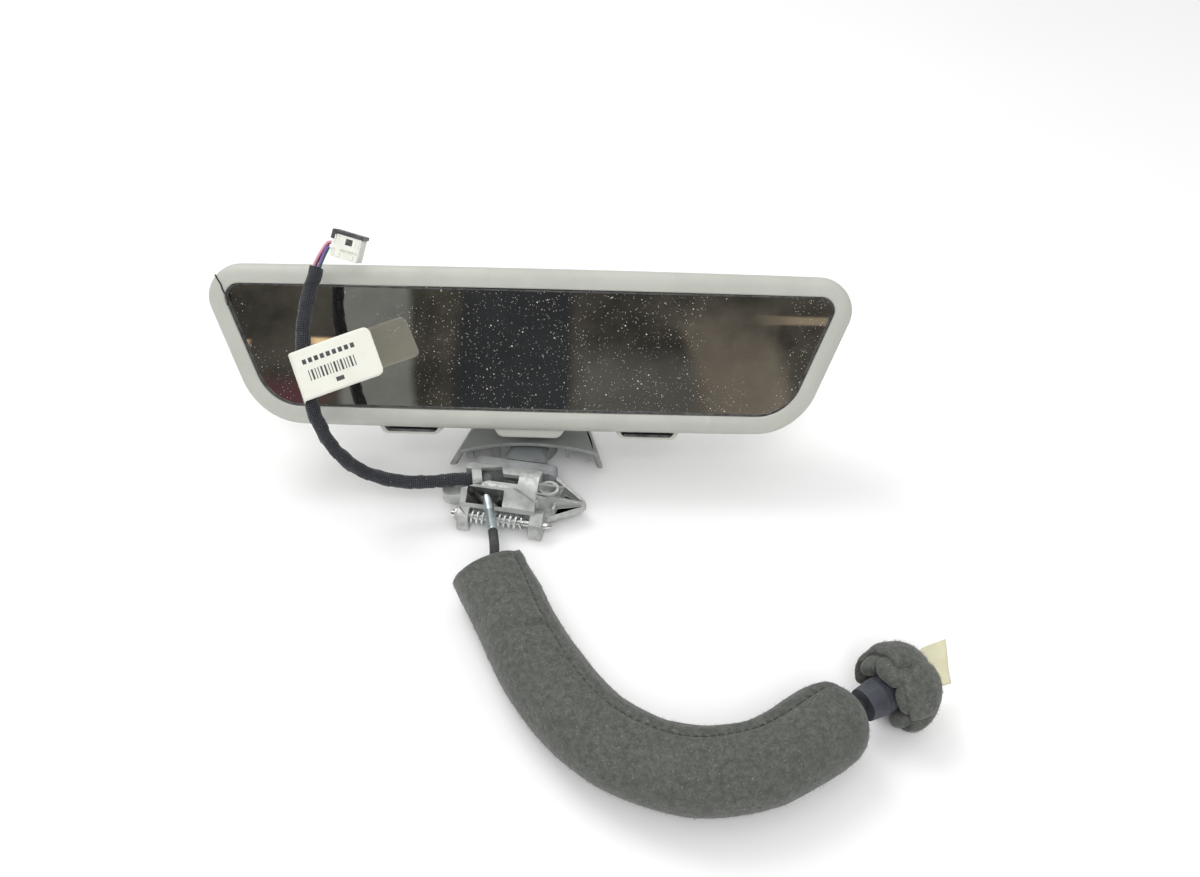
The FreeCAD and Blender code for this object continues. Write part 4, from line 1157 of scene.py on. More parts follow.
# ---- loom ---------------------------------------------------------------------------------------
@dataclass
class Loom:
    """Cloth-taped loom, its four wires, the connector and the folded label."""

    palette: Palette
    diameter: float = 5.2 * MM
    length: float = 139.6 * MM
    lap: float = 8.5 * MM
    wire: float = 1.0 * MM
    connector_at: Vector = field(default_factory=lambda: Vector((-69.0, 14.0, 99.4)) * MM)
    connector_turn: float = math.radians(15.0)
    connector_half: float = 5.5 * MM
    label_left: float = -3.4
    label_width: float = 32.8
    label_half: float = 9.4

    def build(self) -> None:
        """Make the cord and then what is on it."""
        line = spline_points(LOOM_ROUTE)
        tape = sweep("loom_tape", line, self._thickness, self.palette["loom_cloth"], 40)
        things = [*self._connector(), *self._wires(), *self._label()]
        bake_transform(tape)
        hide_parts("loom")
        LOG.info("loom with %d pieces on it", len(things))

    def _thickness(self, far: float, turn: float) -> float:
        """The taped loom's radius, with each lap's step and the lumps of the wires inside."""
        lap = (far / self.lap + turn / math.tau) % 1.0
        step = 0.30 * MM * (1.0 - lap)
        lump = noise.noise(Vector((far * 150, math.cos(turn) * 0.9, math.sin(turn) * 0.9)))
        crease = noise.noise(Vector((far * 620, math.cos(turn) * 1.6, math.sin(turn) * 1.6 + 9)))
        return self.diameter / 2 - 0.12 * MM + step + lump * 0.46 * MM + crease * 0.14 * MM

    def _frame(self) -> Matrix:
        """The connector's own frame."""
        return (Matrix.Translation(self.connector_at) @ Matrix.Rotation(-HEAD_LEAN, 4, "X")
                @ Matrix.Rotation(self.connector_turn, 4, "Y"))

    def _connector(self) -> list[Piece]:
        """The plug body, its ribs, its dark lock and its contacts."""
        body = carried("connector_housing", self.palette["connector_nylon"], 0.12 * MM)
        hold(body, Body.SWIVEL, "white_plastic", "connector_housing")
        lid = carried("connector_lid", self.palette["black_plastic"], 0.15 * MM)
        hold(lid, Body.SWIVEL, "black_plastic", "connector_lid")
        blocks = [((x, -5.05, 0.3), (x + RIB_WIDTH, -4.4, 3.4)) for x in RIBS_AT] + [*CONNECTOR_STEPS]
        trim = set_piece("connector_ribs", joined(solid_box(*block) for block in blocks), self._frame(),
                         self.palette["connector_nylon"])
        bevelled(trim, 0.08 * MM)
        settle(trim)
        hold(trim, Body.SWIVEL, "white_plastic")
        dark = set_piece("connector_window", solid_box(*CONNECTOR_WINDOW), self._frame(),
                         self.palette["black_plastic"])
        hold(dark, Body.SWIVEL, "black_plastic")
        contacts = frame["nodes"]["terminals"]
        return [body, lid, trim, dark, contacts]

    def _wires(self) -> list[Piece]:
        """Four coloured wires from the loom's end into the connector's side."""
        end, before = Vector(LOOM_ROUTE[-1]), Vector(LOOM_ROUTE[-2])
        ahead = (end - before).normalized()
        aside = ahead.cross(Vector((1, 0, 0))).normalized()
        across = ahead.cross(aside)
        made = []
        for index, colour in enumerate(("violet", "green", "pink", "brown")):
            deep, tall = (-1.4, 1.4)[index % 2], (-1.8, 0.2)[index // 2]
            start = end + (aside * (deep * 0.6) + across * (0.9 * (tall + 0.8))) * MM
            mouth = self._frame() @ Vector((-self.connector_half - 1.6 * MM, deep * MM, tall * MM))
            entry = self._frame() @ Vector((-self.connector_half + 1.0 * MM, deep * MM, tall * MM))
            lift = start + ahead * 2.6 * MM
            middle = (lift + mouth) / 2 + ahead * (1.9 * MM)
            route = [start - ahead * 1.5 * MM, start, lift, middle, mouth, entry]
            core = sweep(f"wire_{colour}_strand", spline_points(route, 8),
                         lambda far, turn: self.wire / 2, self.palette[f"{colour}_wire"], 12)
            hold(core, Body.SWIVEL, f"wire_{colour}", f"wire_{colour}")
            made.append(core)
        return made

    def _label(self) -> list[Piece]:
        """A paper flag folded round the loom, with plain bars for its print."""
        place_at = (Matrix.Translation(Vector((-81.6, -27.4, 67.4)) * MM)
                    @ Matrix.Rotation(math.radians(-42), 4, "X") @ Matrix.Rotation(math.radians(-21), 4, "Y"))
        flag = set_piece("label_sheet", grid(64, 16, self._flag_point), place_at, self.palette["label_paper"])
        thicken(flag, 0.32 * MM)
        hold(flag, Body.SWIVEL, "label_paper", "label_flag")
        narrow, wide, gap, block_gap = 0.35, 0.7, 0.75, 2.35
        bars, x = [], 3.0
        for is_wide in (0, 1, 0, 0, 1, 1, 0, 0, 1, 0, 1, 0, 0, 1, 0):
            width = wide if is_wide else narrow
            bars.append(self._printed((x, x + width), (-3.0, 1.0)))
            x += width + gap
        for k in range(9):
            bars.append(self._printed((2.0 + k * block_gap, 3.5 + k * block_gap), (3.6, 5.4)))
        bars.append(self._printed((12.0, 15.0), (-6.4, -4.8)))
        ink = set_piece("label_print", joined(bars), place_at, self.palette["print_ink"], None)
        hold(ink, Body.SWIVEL, "label_paper")
        return [flag, ink]

    def _flag_point(self, across: float, up: float) -> Vector:
        """A point of the flag in its own plane, with the fold round the loom and a soft curl."""
        left, width, half, corner = self.label_left, self.label_width, self.label_half, 2.6
        right = left + width
        x, z = left + across * width, -half + up * 2 * half
        over_x, over_z = x - (right - corner), abs(z) - (half - corner)
        if over_x > 0 and over_z > 0:
            reach = math.hypot(over_x, over_z)
            if reach > corner:
                x = right - corner + over_x / reach * corner
                z = math.copysign(half - corner + over_z / reach * corner, z)
        curl = 0.9 * math.sin(across * math.pi) * (0.6 + 0.4 * up) + 0.8 * across ** 3 * (up - 0.4)
        wrap = 5.6 * max(0.0, 1.0 - (x - left) / 2.4) ** 2
        return Vector((x, -curl - 2.9 + wrap, z)) * MM

    def _printed(self, across: tuple[float, float], tall: tuple[float, float]) -> Shape:
        """One printed bar that lies on the flag's front."""
        verts = []
        for x, z in ((across[0], tall[0]), (across[1], tall[0]), (across[1], tall[1]), (across[0], tall[1])):
            point = self._flag_point((x - self.label_left) / self.label_width,
                                     (z + self.label_half) / (2 * self.label_half))
            verts.append(point + Vector((0, -0.20 * MM, 0)))
        verts += [v + Vector((0, 0.10 * MM, 0)) for v in verts]
        faces = [(0, 1, 2, 3), (7, 6, 5, 4), (0, 4, 5, 1), (1, 5, 6, 2), (2, 6, 7, 3), (3, 7, 4, 0)]
        return verts, faces


# ---- felt-covered lead --------------------------------------------------------------------------
@dataclass
class FeltLead:
    """The second lead: black cable, plated ferrule, felt sleeve, dark plug, felt cap and tape."""

    palette: Palette
    diameter: float = 3.8 * MM
    length: float = 230.0 * MM
    felt_radius: float = 13.9 * MM
    seam_width: float = 1.3 * MM
    slant: float = 0.42
    tuck_at: float = 45.0 * MM

    def build(self) -> None:
        """Make the cable, then the pieces that are on it."""
        line = spline_points(LEAD_ROUTE)
        cable = sweep("lead_jacket", line, lambda far, turn: self.diameter / 2,
                      self.palette["black_rubber"], 24)
        hold(cable, Body.FOOT, "black_rubber", "lead_cable")
        things = [self._ferrule(), *self._sleeve(), self._plug(), *self._cap(), self._tag()]

    def _ferrule(self) -> Piece:
        """Plated sleeve crimped on the cable below the foot."""
        start, end = Vector(LEAD_ROUTE[0]), Vector(LEAD_ROUTE[2])
        total = (end - start).length
        wall = 2.12 * MM
        profile = [(-0.6 * MM, 1.5 * MM), (-0.6 * MM, wall), (total * 0.30, wall),
                   (total * 0.33, wall - 0.22 * MM), (total * 0.38, wall - 0.22 * MM), (total * 0.41, wall),
                   (total * 0.86, wall), (total * 0.88, wall + 0.12 * MM), (total * 0.92, wall + 0.12 * MM),
                   (total * 0.93, 1.6 * MM)]
        piece = set_piece("ferrule", lathe(profile, 40), facing(start, end - start),
                          self.palette["ferrule_plate"])
        return hold(piece, Body.FOOT, "plated_sleeve", "cable_sleeve")

    def _seam_turn(self, far: float) -> float:
        """Where round the sleeve the seam lies."""
        share, late = min(1.0, far / (80.0 * MM)), max(0.0, far / MM - 110.0) / 60.0
        return math.radians(133.0 - 23.0 * share + 13.0 * late)

    def _felt_thickness(self, total: float) -> Callable[[float, float], float]:
        """The sleeve's radius along and round it, before its seam is pressed in."""
        def radius(far: float, turn: float) -> float:
            """The radius at one place."""
            left = total - far
            soft = 1.0 + 0.045 * noise.noise(Vector((far * 42, math.cos(turn) * 0.7, math.sin(turn) * 0.7)))
            soft += 0.022 * noise.noise(Vector((far * 120, math.cos(turn) * 1.7, math.sin(turn) * 1.7 + 5)))
            reach = self.felt_radius * soft * (1.0 + 0.02 * math.sin(far * 38))
            closing = 17.0 * MM
            if left < closing:
                share = 1.0 - left / closing
                reach *= math.sqrt(max(0.0, 1.0 - 0.80 * share ** 3.2))
            return reach
        return radius

    def _sleeve(self) -> list[Piece]:
        """Padded felt sleeve with its seam, its tuck and its loose fibres."""
        line = spline_points(FELT_ROUTE, 18)
        total = along(line)[-1]
        felt = sweep("felt_sleeve_pad", line, self._felt_thickness(total), self.palette["felt"], 72)
        swell(felt, 2.2 * MM, 3.0, 1.4 * MM)
        self._cut_end(felt, line)
        self._press_seam(felt, line)
        hold(felt, Body.FOOT, "felt", "felt_sleeve")
        seam = self._seam_cord(line)
        count = SLEEVE_FIBRES[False]
        fluff = fibres_on("felt_sleeve_fibres", felt, count, self.palette["felt"], 11)
        hold(fluff, Body.FOOT, "felt")
        mouth = self._mouth(line)
        return [felt, seam, fluff, mouth]

    def _cut_end(self, felt: Piece, line: list[Vector]) -> None:
        """Square up the sleeve's open end, keep its rim crisp and then slant it."""
        lip, core = 4.0 * MM, 1.0 * MM
        ahead = (line[4] - line[0]).normalized()
        for vertex in felt.data.vertices:
            out = vertex.co - line[0]
            depth = out.dot(ahead)
            across = out - ahead * depth
            if depth > lip or across.length < core:
                continue
            if across.length > self.felt_radius * 0.86:
                vertex.co += across.normalized() * max(0.0, self.felt_radius - across.length)
            vertex.co -= ahead * min(0.0, depth)
        for vertex in felt.data.vertices:
            vertex.co = self._slanted(vertex.co, line)

    def _slanted(self, point: Vector, line: list[Vector]) -> Vector:
        """A point near the open end, moved so that the end is cut at a slant.

        Args:
            point: The point.
            line: The sleeve's middle line.

        Returns:
            The moved point.
        """
        ahead = (line[4] - line[0]).normalized()
        out = point - line[0]
        depth, reach = out.dot(ahead), 26.0 * MM
        back = self.slant * max(0.0, out.z + 4.0 * MM)
        if depth > reach or out.length > 2.0 * reach:
            return point
        return point + ahead * back * (1.0 - max(0.0, depth) / reach)

    def _press_seam(self, felt: Piece, line: list[Vector]) -> None:
        """Press the seam's groove, the tuck and the flat underside into the sleeve."""
        reached, frames, low = along(line), frames_on(line), 0.5 * MM
        for vertex in felt.data.vertices:
            i = min(range(len(line)), key=lambda k: (line[k] - vertex.co).length_squared)
            _, side, up = frames[i]
            out = vertex.co - line[i]
            turn = math.atan2(out.dot(up), out.dot(side))
            away = (turn - self._seam_turn(reached[i])) * self.felt_radius
            groove = bell(away, self.seam_width)
            ridge = bell(away - 2.6 * MM, 1.8 * MM) * 0.55
            push = -1.15 * MM * groove + ridge * MM
            bend = reached[i] - self.tuck_at - 0.35 * away
            near = bell(away + 9.0 * MM, 9.0 * MM)
            push -= 1.5 * MM * bell(bend, 1.3 * MM) * near
            push += 0.9 * MM * bell(bend + 4.0 * MM, 3.0 * MM) * near
            vertex.co += out.normalized() * push
            if vertex.co.z < low:
                vertex.co.z = low + (vertex.co.z - low) * 0.1
        felt.data.update()

    def _seam_cord(self, line: list[Vector]) -> Piece:
        """The stitched thread that lies in the seam."""
        reached, frames = along(line), frames_on(line)
        places, gap, far = [], 2.4 * MM, 9.0 * MM
        radius = self._felt_thickness(reached[-1])
        for point, along_it, (ahead, side, up) in zip(line, reached, frames):
            if along_it < far or along_it > reached[-1] - 8.0 * MM:
                continue
            far = along_it + gap
            turn = self._seam_turn(along_it)
            out = side * math.cos(turn) + up * math.sin(turn)
            spot = point + out * (radius(along_it, turn) - 0.85 * MM)
            places.append(facing(spot, ahead, out))
        arch = [Vector((x, 0, z)) * MM for x, z in ((-0.8, -0.1), (-0.3, 0.2), (0.3, 0.2), (0.8, -0.1))]
        stitch = sweep("stitch", arch, lambda far, turn: 0.16 * MM, self.palette["seam_thread"], 6)
        thread = ScatterTree().repeat("seam_stitches", stitch, places, self.palette["seam_thread"], 0.08, 5)
        return hold(thread, Body.FOOT, "felt")

    def _mouth(self, line: list[Vector]) -> Piece:
        """The folded-in edge at the sleeve's open end."""
        wall, deep = self.felt_radius * 0.93, 5.0 * MM
        profile = [(-0.2 * MM, wall - 3.4 * MM), (-0.9 * MM, wall - 2.4 * MM), (-0.9 * MM, wall - 1.0 * MM),
                   (0.2 * MM, wall + 0.1 * MM), (2.0 * MM, wall - 0.3 * MM), (deep, wall - 1.0 * MM),
                   (deep, 2.6 * MM), (1.2 * MM, 2.6 * MM), (0.8 * MM, wall - 3.8 * MM)]
        place_at = facing(line[0], line[1] - line[0])

        def point(x: float, r: float, turn: float) -> Vector:
            """A point of the lip, with its slight waves and its slant."""
            wave = 1.0 + 0.03 * math.sin(3 * turn + 0.7)
            return self._slanted(place_at @ turned(x, r * wave, turn), line)

        lip = new_piece("felt_mouth", *lathe(profile, 56, True, point), self.palette["felt"], 60.0)
        return hold(lip, Body.FOOT, "felt")

    def _end(self) -> tuple[Vector, Vector]:
        """The lead's end and the way it points."""
        end, before = Vector(LEAD_ROUTE[-1]), Vector(LEAD_ROUTE[-2])
        return end, (end - before).normalized()

    def _plug(self) -> Piece:
        """Dark plug with shallow ribs, between the sleeve and the cap."""
        end, ahead = self._end()
        profile = [(-12.0 * MM, 2.0 * MM), (-12.0 * MM, 5.6 * MM), (-7.0 * MM, 6.2 * MM)]
        x = -6.6
        while x < 6.5:
            profile += [(x * MM, 6.4 * MM), ((x + 1.1) * MM, 6.4 * MM), ((x + 1.25) * MM, 6.15 * MM),
                        ((x + 1.55) * MM, 6.15 * MM)]
            x += 1.7
        profile += [(8.5 * MM, 6.3 * MM), (9.0 * MM, 5.4 * MM)]
        plug = set_piece("plug_shell", lathe(profile, 56), facing(end, ahead), self.palette["plug_plastic"])
        return hold(plug, Body.FOOT, "dark_plug", "plug_body")

    def _cap(self) -> list[Piece]:
        """Felt gathered over the plug's end in soft petals."""
        place_at = facing(*self._end())
        profile = ((5.0, 6.6), (3.2, 7.9), (0.6, 9.9), (-1.3, 12.0), (-1.7, 13.4), (0.2, 14.4), (3.6, 14.5),
                   (7.6, 13.7), (11.2, 12.0), (13.9, 9.4), (15.6, 6.2), (16.3, 3.0), (16.5, 0.6))
        verts, faces = lathe(smooth_profile(profile, 4), 96, point=self._petal)
        faces.append(faces.pop(-2))     # the rim's face last, which the fibres' places depend on
        cap = set_piece("felt_cap_pad", (verts, faces), place_at, self.palette["felt"], 75.0)
        for vertex in cap.data.vertices:
            vertex.co.z = max(vertex.co.z, 0.9 * MM)
        hold(cap, Body.FOOT, "felt", "felt_cap")
        fluff = fibres_on("felt_cap_fibres", cap, CAP_FIBRES[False], self.palette["felt"], 23)
        hold(fluff, Body.FOOT, "felt")
        return [cap, fluff, self._petals(place_at)]

    def _petals(self, place_at: Matrix) -> Piece:
        """Puffed felt petals folded in between the cap's rim and the plug."""
        shapes = []
        for turn, size in ((0.5, 6.2), (1.5, 6.6), (2.5, 6.0), (3.7, 5.4), (5.1, 5.8)):
            work = bmesh.new()
            bmesh.ops.create_uvsphere(work, u_segments=28, v_segments=18, radius=1.0)
            lobe = (Matrix.Rotation(turn, 4, "X") @ Matrix.Translation(Vector((-0.2, 9.4, 0)) * MM)
                    @ Matrix.Diagonal((size * MM * 0.80, 3.3 * MM, size * MM, 1.0)))
            shapes.append(([place_at @ lobe @ v.co for v in work.verts],
                           [tuple(v.index for v in f.verts) for f in work.faces]))
            work.free()
        verts, faces = joined(shapes)
        for point in verts:
            point += Vector([noise.noise(point * 260 + Vector((k * 7.0, 0, 0))) for k in range(3)]) * 0.5 * MM
            point.z = max(point.z, 1.0 * MM)
        petals = new_piece("felt_cap_petals", verts, faces, self.palette["felt"], 80.0)
        return hold(petals, Body.FOOT, "felt")

    def _petal(self, x: float, r: float, turn: float) -> Vector:
        """A point of the cap, pulled in at the gathers and folded over at the front."""
        gathers = (0.35, 1.75, 3.2, 4.55, 5.6)
        pull = 0.0
        for g in gathers:
            gap = math.atan2(math.sin(turn - g), math.cos(turn - g))
            pull += bell(gap, 0.10)
        front = max(0.0, 1.0 - (x + 2.2) / 9.0)
        back = max(0.0, (x - 9.0) / 8.0)
        reach = r * (1.0 - pull * (0.30 * front + 0.14 * back + 0.02))
        reach *= 1.0 + 0.05 * math.sin(2 * turn + 0.6) + 0.04 * noise.noise(
            Vector((x * 0.14, math.cos(turn) * 1.1, math.sin(turn) * 1.1)))
        shift = front * (2.4 * pull - 1.9 * math.cos(2.0 * turn + 0.9)) + 0.6 * back * math.sin(3 * turn)
        return Vector(((x + shift) * MM, reach * MM * math.cos(turn), reach * MM * math.sin(turn)))

    def _tag(self) -> Piece:
        """Pale tape folded out behind the cap."""
        end, ahead = self._end()
        base = end + ahead * 13.5 * MM
        place_at = Matrix.Translation(base) @ Matrix.Rotation(math.radians(34), 4, "Z")

        def point(a: float, b: float) -> Vector:
            """A point of the tape, which leans and is a little crumpled."""
            x, z = a * 13.0, -9.0 + b * 16.0 + 0.6 * math.sin(a * 3.0)
            y = 0.5 * z + 0.5 * math.sin(a * 4.2 + b) + 0.3 * math.sin(b * 5.0) * a
            return Vector((x, y, z)) * MM

        tag = set_piece("tape_fold", grid(14, 12, point), place_at, self.palette["clear_tape"])
        thicken(tag, 0.18 * MM)
        return hold(tag, Body.FOOT, "tape", "tape_tag")


def bell(away: float, width: float) -> float:
    """A smooth bump, 1 at nought and falling off over a width."""
    return math.exp(-(away / width) ** 2)


def smooth_profile(profile: Outline, steps: int) -> list[tuple[float, float]]:
    """More points on a smooth curve through a profile."""
    found = []
    for i in range(len(profile) - 1):
        p0, p1 = profile[max(i - 1, 0)], profile[i]
        p2, p3 = profile[i + 1], profile[min(i + 2, len(profile) - 1)]
        for s in range(steps):
            t = s / steps
            found.append(tuple(0.5 * (2 * b + (c - a) * t + (2 * a - 5 * b + 4 * c - d) * t * t
                                      + (3 * b - a - 3 * c + d) * t ** 3)
                               for a, b, c, d in zip(p0, p1, p2, p3)))
    found.append(tuple(profile[-1]))
    return found


def swell(piece: Piece, voxel: float, pressure: float, most: float) -> None:
    """Blow a padded piece up a little as cloth, and keep its result.

    Args:
        piece: The piece, whose mesh is remeshed and swollen.
        voxel: The remesh size in metres.
        pressure: The air pressure inside.
        most: How far a point may move, in metres.
    """
    remesh = piece.modifiers.new("voxels", "REMESH")
    remesh.mode, remesh.voxel_size = "VOXEL", voxel
    settle(piece)
    rest = [v.co.copy() for v in piece.data.vertices]
    cloth = piece.modifiers.new("cloth", "CLOTH")
    cloth.settings.use_pressure = True
    cloth.settings.uniform_pressure_force = pressure
    cloth.settings.effector_weights.gravity = 0.0
    cloth.settings.tension_stiffness = cloth.settings.compression_stiffness = 12.0
    cloth.settings.bending_stiffness = 0.4
    scene = bpy.context.scene
    for step in range(1, SWELL_FRAMES + 1):
        scene.frame_set(step)
    settle(piece)
    for vertex, start in zip(piece.data.vertices, rest):
        move = vertex.co - start
        if move.length > most:
            vertex.co = start + move.normalized() * most
    scene.frame_set(1)
    finer = piece.modifiers.new("finer", "SUBSURF")
    finer.levels = finer.render_levels = 1
    settle(piece)
    soften(piece.data, 75.0)


def fibres_on(name: str, piece: Piece, count: int, material: Material,
              seed: int) -> Piece:
    """Short bent fibres that stand out of a felt surface.

    Args:
        name: The new piece's name.
        piece: The felt piece.
        count: How many fibres.
        material: Their finish.
        seed: The seed of their places.

    Returns:
        One mesh of all the fibres.
    """
    draw = random.Random(seed)
    polygons = piece.data.polygons
    areas = [p.area for p in polygons]
    picked = draw.choices(range(len(polygons)), weights=areas, k=count)
    places = []
    for index in picked:
        face = polygons[index]
        corners = [piece.data.vertices[i].co for i in face.vertices]
        shares = [draw.random() for _ in corners]
        total = sum(shares)
        spot = sum((c * s for c, s in zip(corners, shares)), Vector()) / total
        lean = Vector((draw.uniform(-1, 1), draw.uniform(-1, 1), draw.uniform(-1, 1)))
        ahead = (face.normal * 0.7 + lean * 0.75).normalized()
        if spot.z > 1.2 * MM:
            places.append(facing(spot, ahead, lean.cross(ahead).normalized()))
    ribbon = [(0, -0.035, 0), (0, 0.035, 0), (0.35, -0.03, 0.10), (0.35, 0.03, 0.10), (0.75, 0.0, 0.0)]
    faces = [(0, 2, 3, 1), (2, 4, 3)]
    fibre = new_piece("fibre", [Vector(p) * MM for p in ribbon], faces, material)
    return ScatterTree().repeat(name, fibre, places, material, 0.35, seed)


# ---- head ---------------------------------------------------------------------------------------
@dataclass
class Head:
    """Bezel, glass, housing and the small parts that show round them."""

    palette: Palette
    bow: float = 0.9 * MM
    cut_every: float = 8.0 * MM

    def build(self) -> None:
        """Make the shells, dress the glass and add the hairline on the bezel."""
        plastic = self.palette["head_plastic"]
        bezel = carried("front_bezel", plastic, shape=self._bow)
        hold(bezel, Body.HEAD, "grey_plastic", "front_bezel")
        shell = carried("rear_housing", plastic, shape=self._bow)
        hold(shell, Body.HEAD, "grey_plastic", "rear_housing")
        for node in ("scoop_left", "scoop_right", "neck_visor"):
            hold(carried(node, plastic, 0.15 * MM), Body.HEAD, "grey_plastic", node)
        dress("mirror_glass", self.palette["mirror_silver"])
        dress("rear_pane", self.palette["rear_silver"])
        dress("glass_gasket", self.palette["black_rubber"])
        lens = carried("sensor_window", self.palette["smoked_lens"], 0.5 * MM)
        hold(lens, Body.HEAD, "clear_window", "sensor_window")
        self._hairline()
        self._shadow_slots()

    def _bow(self, work: bmesh.types.BMesh) -> None:
        """Bow the long and short sides outwards a little, as moulded frames are."""
        x = -120.0 * MM
        while x <= 120.0 * MM:
            bmesh.ops.bisect_plane(work, geom=[*work.verts, *work.edges, *work.faces],
                                   plane_co=(x, 0, 0), plane_no=(1, 0, 0), dist=1e-6)
            x += self.cut_every
        inverse = HEAD_FRAME.inverted()
        middle = HEAD_MIDDLE * MM
        for vertex in work.verts:
            p = inverse @ vertex.co
            tall = (p.z - middle) / middle
            wide = p.x / (129.0 * MM)
            p.z += self.bow * max(0.0, 1.0 - wide * wide) * tall * abs(tall)
            p.x += 0.7 * MM * max(0.0, 1.0 - tall * tall) * math.copysign(abs(wide) ** 5, wide)
            vertex.co = HEAD_FRAME @ p

    def _hairline(self) -> None:
        """A fine dark thread caught over the bezel's upper left corner."""
        spots = ((-126.2, 1.6, 59.4), (-124.9, 0.3, 57.8), (-123.3, -0.25, 55.8), (-122.7, -0.3, 53.1),
                 (-120.7, -0.25, 50.7), (-121.3, 0.5, 47.5))
        line = spline_points([tuple(HEAD_FRAME @ (Vector(s) * MM)) for s in spots], 10)
        thread = sweep("bezel_hairline", line, lambda far, turn: 0.34 * MM, self.palette["black_rubber"], 8)
        hold(thread, Body.HEAD, "black_rubber")

    def _shadow_slots(self) -> None:
        """Black blocks in the two slots under the bezel, as painted shade for their dark gaps."""
        middle, half = 48.8, 9.6
        # painted shade: black plastic blocks stand for the shadow inside the two slots
        shade_blocks = joined(solid_box((x - half, 5.2, -2.9), (x + half, 13.6, -1.9)) for x in (-middle, middle))
        slots = set_piece("scoop_grilles", shade_blocks, HEAD_FRAME, self.palette["black_plastic"])
        hold(slots, Body.HEAD, "black_plastic")


# ---- arm, foot and latch ------------------------------------------------------------------------
@dataclass
class Arm:
    """Neck casting, ball stud, foot casting and what is fixed to them."""

    palette: Palette
    screws: tuple[float, float] = (-12.6, 14.0)

    def build(self) -> None:
        """Finish each casting and the fixed pieces."""
        for node, finish, edge, slot in (("foot_casting", "die_cast", 0.28, "die_cast"),
                                         ("neck_casting", "neck_cast", 0.45, "neck_cast"),
                                         ("cable_guide", "black_plastic", 0.15, "black_plastic"),
                                         ("loom_clip", "die_cast", 0.2, "die_cast"),
                                         ("ball_stud", "ball_steel", 0.0, "steel")):
            hold(carried(node, self.palette[finish], edge * MM), Body.FOOT, slot, node)
        places = [ARM_FRAME @ Matrix.Translation(Vector((x, -28.0, 11.0)) * MM) for x in self.screws]
        fixed = screw_set("flange_screw_set", places, self.palette["zinc_plate"], 3.0, 1.5, 13.0)
        hold(fixed, Body.FOOT, "screw_steel", "flange_screws")
        dress("neck_lead", self.palette["black_rubber"])


@dataclass
class Latch:
    """The sprung locking pin, its ring and its spring."""

    palette: Palette
    along_arm: float = -52.0
    up: float = 6.0
    left_leg: float = -14.6
    collar: tuple[float, float] = (6.6, 7.4)
    wire: float = 1.1
    mean: float = 2.55
    turns: float = 9.0

    def build(self) -> None:
        """Make the pin, its ring and the spring."""
        self._pin()
        ring = carried("retaining_ring", self.palette["zinc_plate"], 0.08 * MM)
        hold(ring, Body.LATCH, "zinc_steel", "retaining_ring")
        self._spring()

    def _place(self, x: float) -> Matrix:
        """A frame on the pin's axis."""
        return ARM_FRAME @ Matrix.Translation(Vector((x, self.along_arm, self.up)) * MM)

    def _pin(self) -> None:
        """Turned pin with a chamfered tail, a ring groove, a collar and a pointed nose."""
        r, low, high = 1.45, *self.collar
        profile = ((-22.6, 1.1), (-22.2, r), (-20.5, r), (-20.45, 1.2), (-19.5, 1.2), (-19.45, r), (low, r),
                   (low + 0.02, 2.8), (low + 0.15, 3.0), (high - 0.15, 3.0), (high - 0.02, 2.8), (high, r),
                   (15.75, r), (15.8, 1.4), (17.3, 1.4), (17.5, 1.34), (19.2, 0.5), (19.5, 0.3), (19.6, 0.08))
        shape = lathe([(x * MM, rr * MM) for x, rr in profile], 40)
        pin = set_piece("pin_turned", shape, self._place(0), self.palette["pin_steel"], 30.0)
        hold(pin, Body.LATCH, "pin_steel", "locking_pin")

    def _spring(self) -> None:
        """The coil spring, from the left leg to the pin's collar."""
        first, last = self.left_leg + self.wire / 2 + 0.05, self.collar[0] - self.wire / 2 - 0.05
        spring = CoilTree().run("spring_coil", bpy.data.meshes.new("spring_seed"), {
            "Turns": self.turns, "Length": (last - first) * MM, "Coil radius": self.mean * MM,
            "Wire radius": self.wire / 2 * MM, "Material": self.palette["zinc_plate"]}, 60.0)
        turn = Matrix.Rotation(math.radians(90), 4, "Y")
        spring.data.transform(self._place(first) @ turn)
        spring.data.update()
        hold(spring, Body.FOOT, "zinc_steel", "latch_spring")
        anchor = self._place(self.left_leg).to_translation()
        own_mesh(spring)


@dataclass
class Cover:
    """The thin shroud round the neck."""

    palette: Palette

    def build(self) -> None:
        """Finish the shroud."""
        hold(carried("foot_cover", self.palette["cover_plastic"], 0.25 * MM), Body.COVER, "cover_plastic",
             "foot_cover")


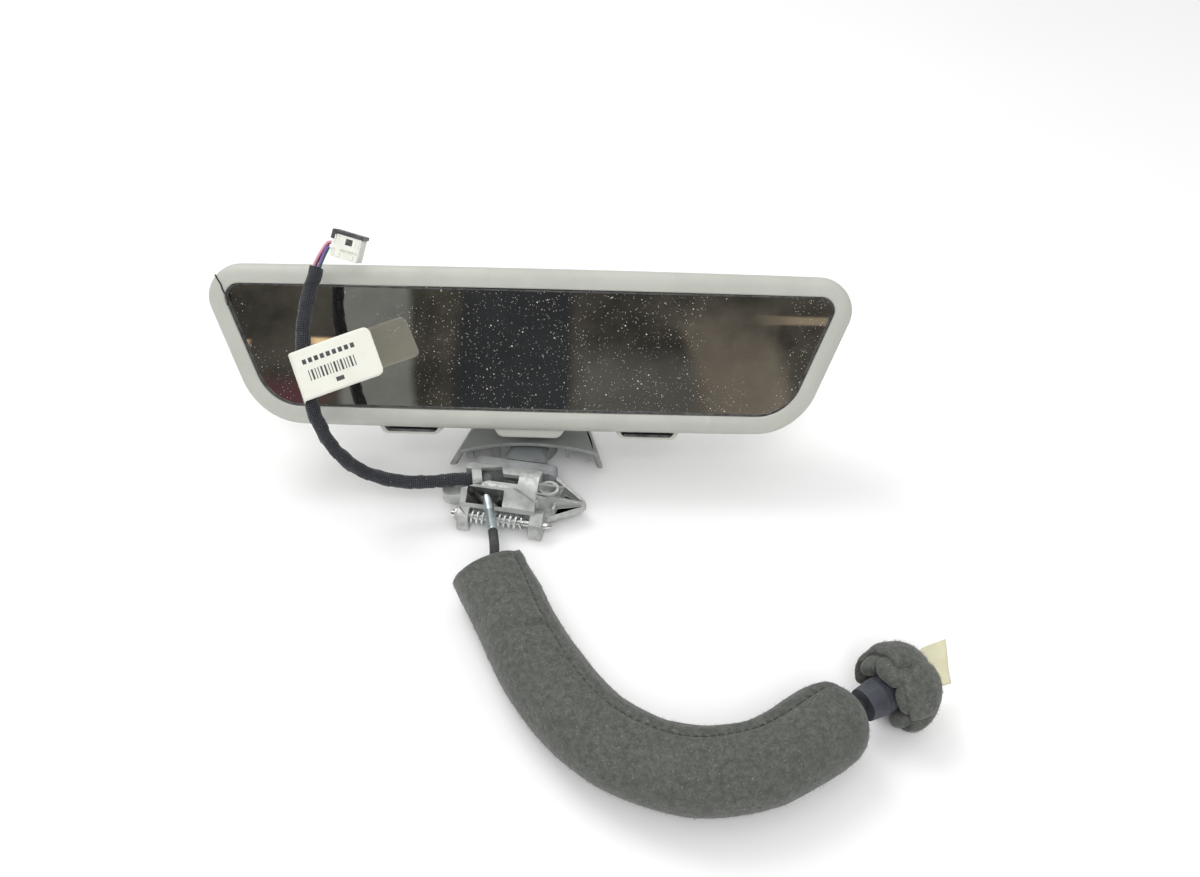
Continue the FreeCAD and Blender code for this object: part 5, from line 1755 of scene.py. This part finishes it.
@dataclass
class Inside:
    """Pieces that the housing hides, each with its own finish."""

    palette: Palette

    def build(self) -> None:
        """Dress the hidden nodes and set the screws in their posts."""
        finishes = {"cell_seal": "black_rubber", "foam_tape": "foam_grey", "bus_clips": "zinc_plate",
                    "glass_carrier": "black_plastic", "snap_clips": "zinc_plate",
                    "socket_cage": "zinc_plate", "circuit_board": "solder_mask",
                    "board_chips": "black_plastic", "board_header": "connector_nylon",
                    "light_sensor": "smoked_lens", "socket_cup": "ball_steel",
                    "socket_liner": "connector_nylon", "terminals": "contact_brass"}
        for node, finish in finishes.items():
            dress(node, self.palette[finish])
        cage = ((-15.5, 12.0), (15.5, 12.0), (-15.5, 31.0), (15.5, 31.0))
        board = ((33.0, 17.0), (85.0, 22.0), (33.0, 47.0), (85.0, 47.0))
        sets = (("cage_screws", cage, 13.6, 2.3, 1.2, 4.6), ("board_screws", board, 14.0, 1.9, 0.9, 4.8))
        for node, spots, seat, head, shank, length in sets:
            places = [HEAD_FRAME @ Matrix.Translation(Vector((x, seat, z)) * MM) for x, z in spots]
            made = screw_set(f"{node}_set", places, self.palette["zinc_plate"], head, shank, length)
            hold(made, Body.HEAD, "screw_steel", node)


def pan_screw(name: str, material: Material, head: float, shank: float,
              length: float) -> Piece:
    """One pan-head screw whose head points along +X and whose seat is at the origin."""
    profile = [(-length, shank * 0.5), (-length + 0.6, shank)]
    x = -length + 0.8
    while x < -0.6:
        profile += [(x, shank * 0.86), (x + 0.25, shank)]
        x += 0.5
    profile += [(0.0, shank), (0.0, head), (0.5, head * 0.98), (1.1, head * 0.8), (1.4, head * 0.45),
                (1.4, head * 0.3), (0.7, head * 0.22)]
    verts, faces = lathe([(x * MM, r * MM) for x, r in profile], 20)
    return new_piece(name, verts, faces, material)


def screw_set(name: str, places: Sequence[Matrix], material: Material, head: float,
              shank: float, length: float) -> Piece:
    """Pan-head screws whose seats are at places, each pointing along the place's own Y axis.

    Args:
        name: The new piece's name.
        places: The frames of the seats.
        material: Their finish.
        head: The head's radius, in millimetres.
        shank: The shank's radius, in millimetres.
        length: The length under the head, in millimetres.

    Returns:
        One mesh of all the screws.
    """
    screw = pan_screw("screw", material, head, shank, length)
    return ScatterTree().repeat(name, screw, [place_at @ QUARTER_TURN for place_at in places], material)


def dress(node: str, material: Material) -> None:
    """Give a CAD node its finish."""
    data = frame["nodes"][node].data
    data.materials.clear()
    data.materials.append(material)
    LOG.info("dressed %s", node)


def main() -> None:
    """Build the studio and every sub-assembly."""
    logging.basicConfig(level=logging.INFO, format="%(name)s: %(message)s")
    palette = Palette()
    Studio().build()
    for part in (Loom, FeltLead, Head, Arm, Latch, Cover, Inside):
        LOG.info("building %s", part.__name__)
        part(palette).build()


if __name__ == "__main__":
    main()
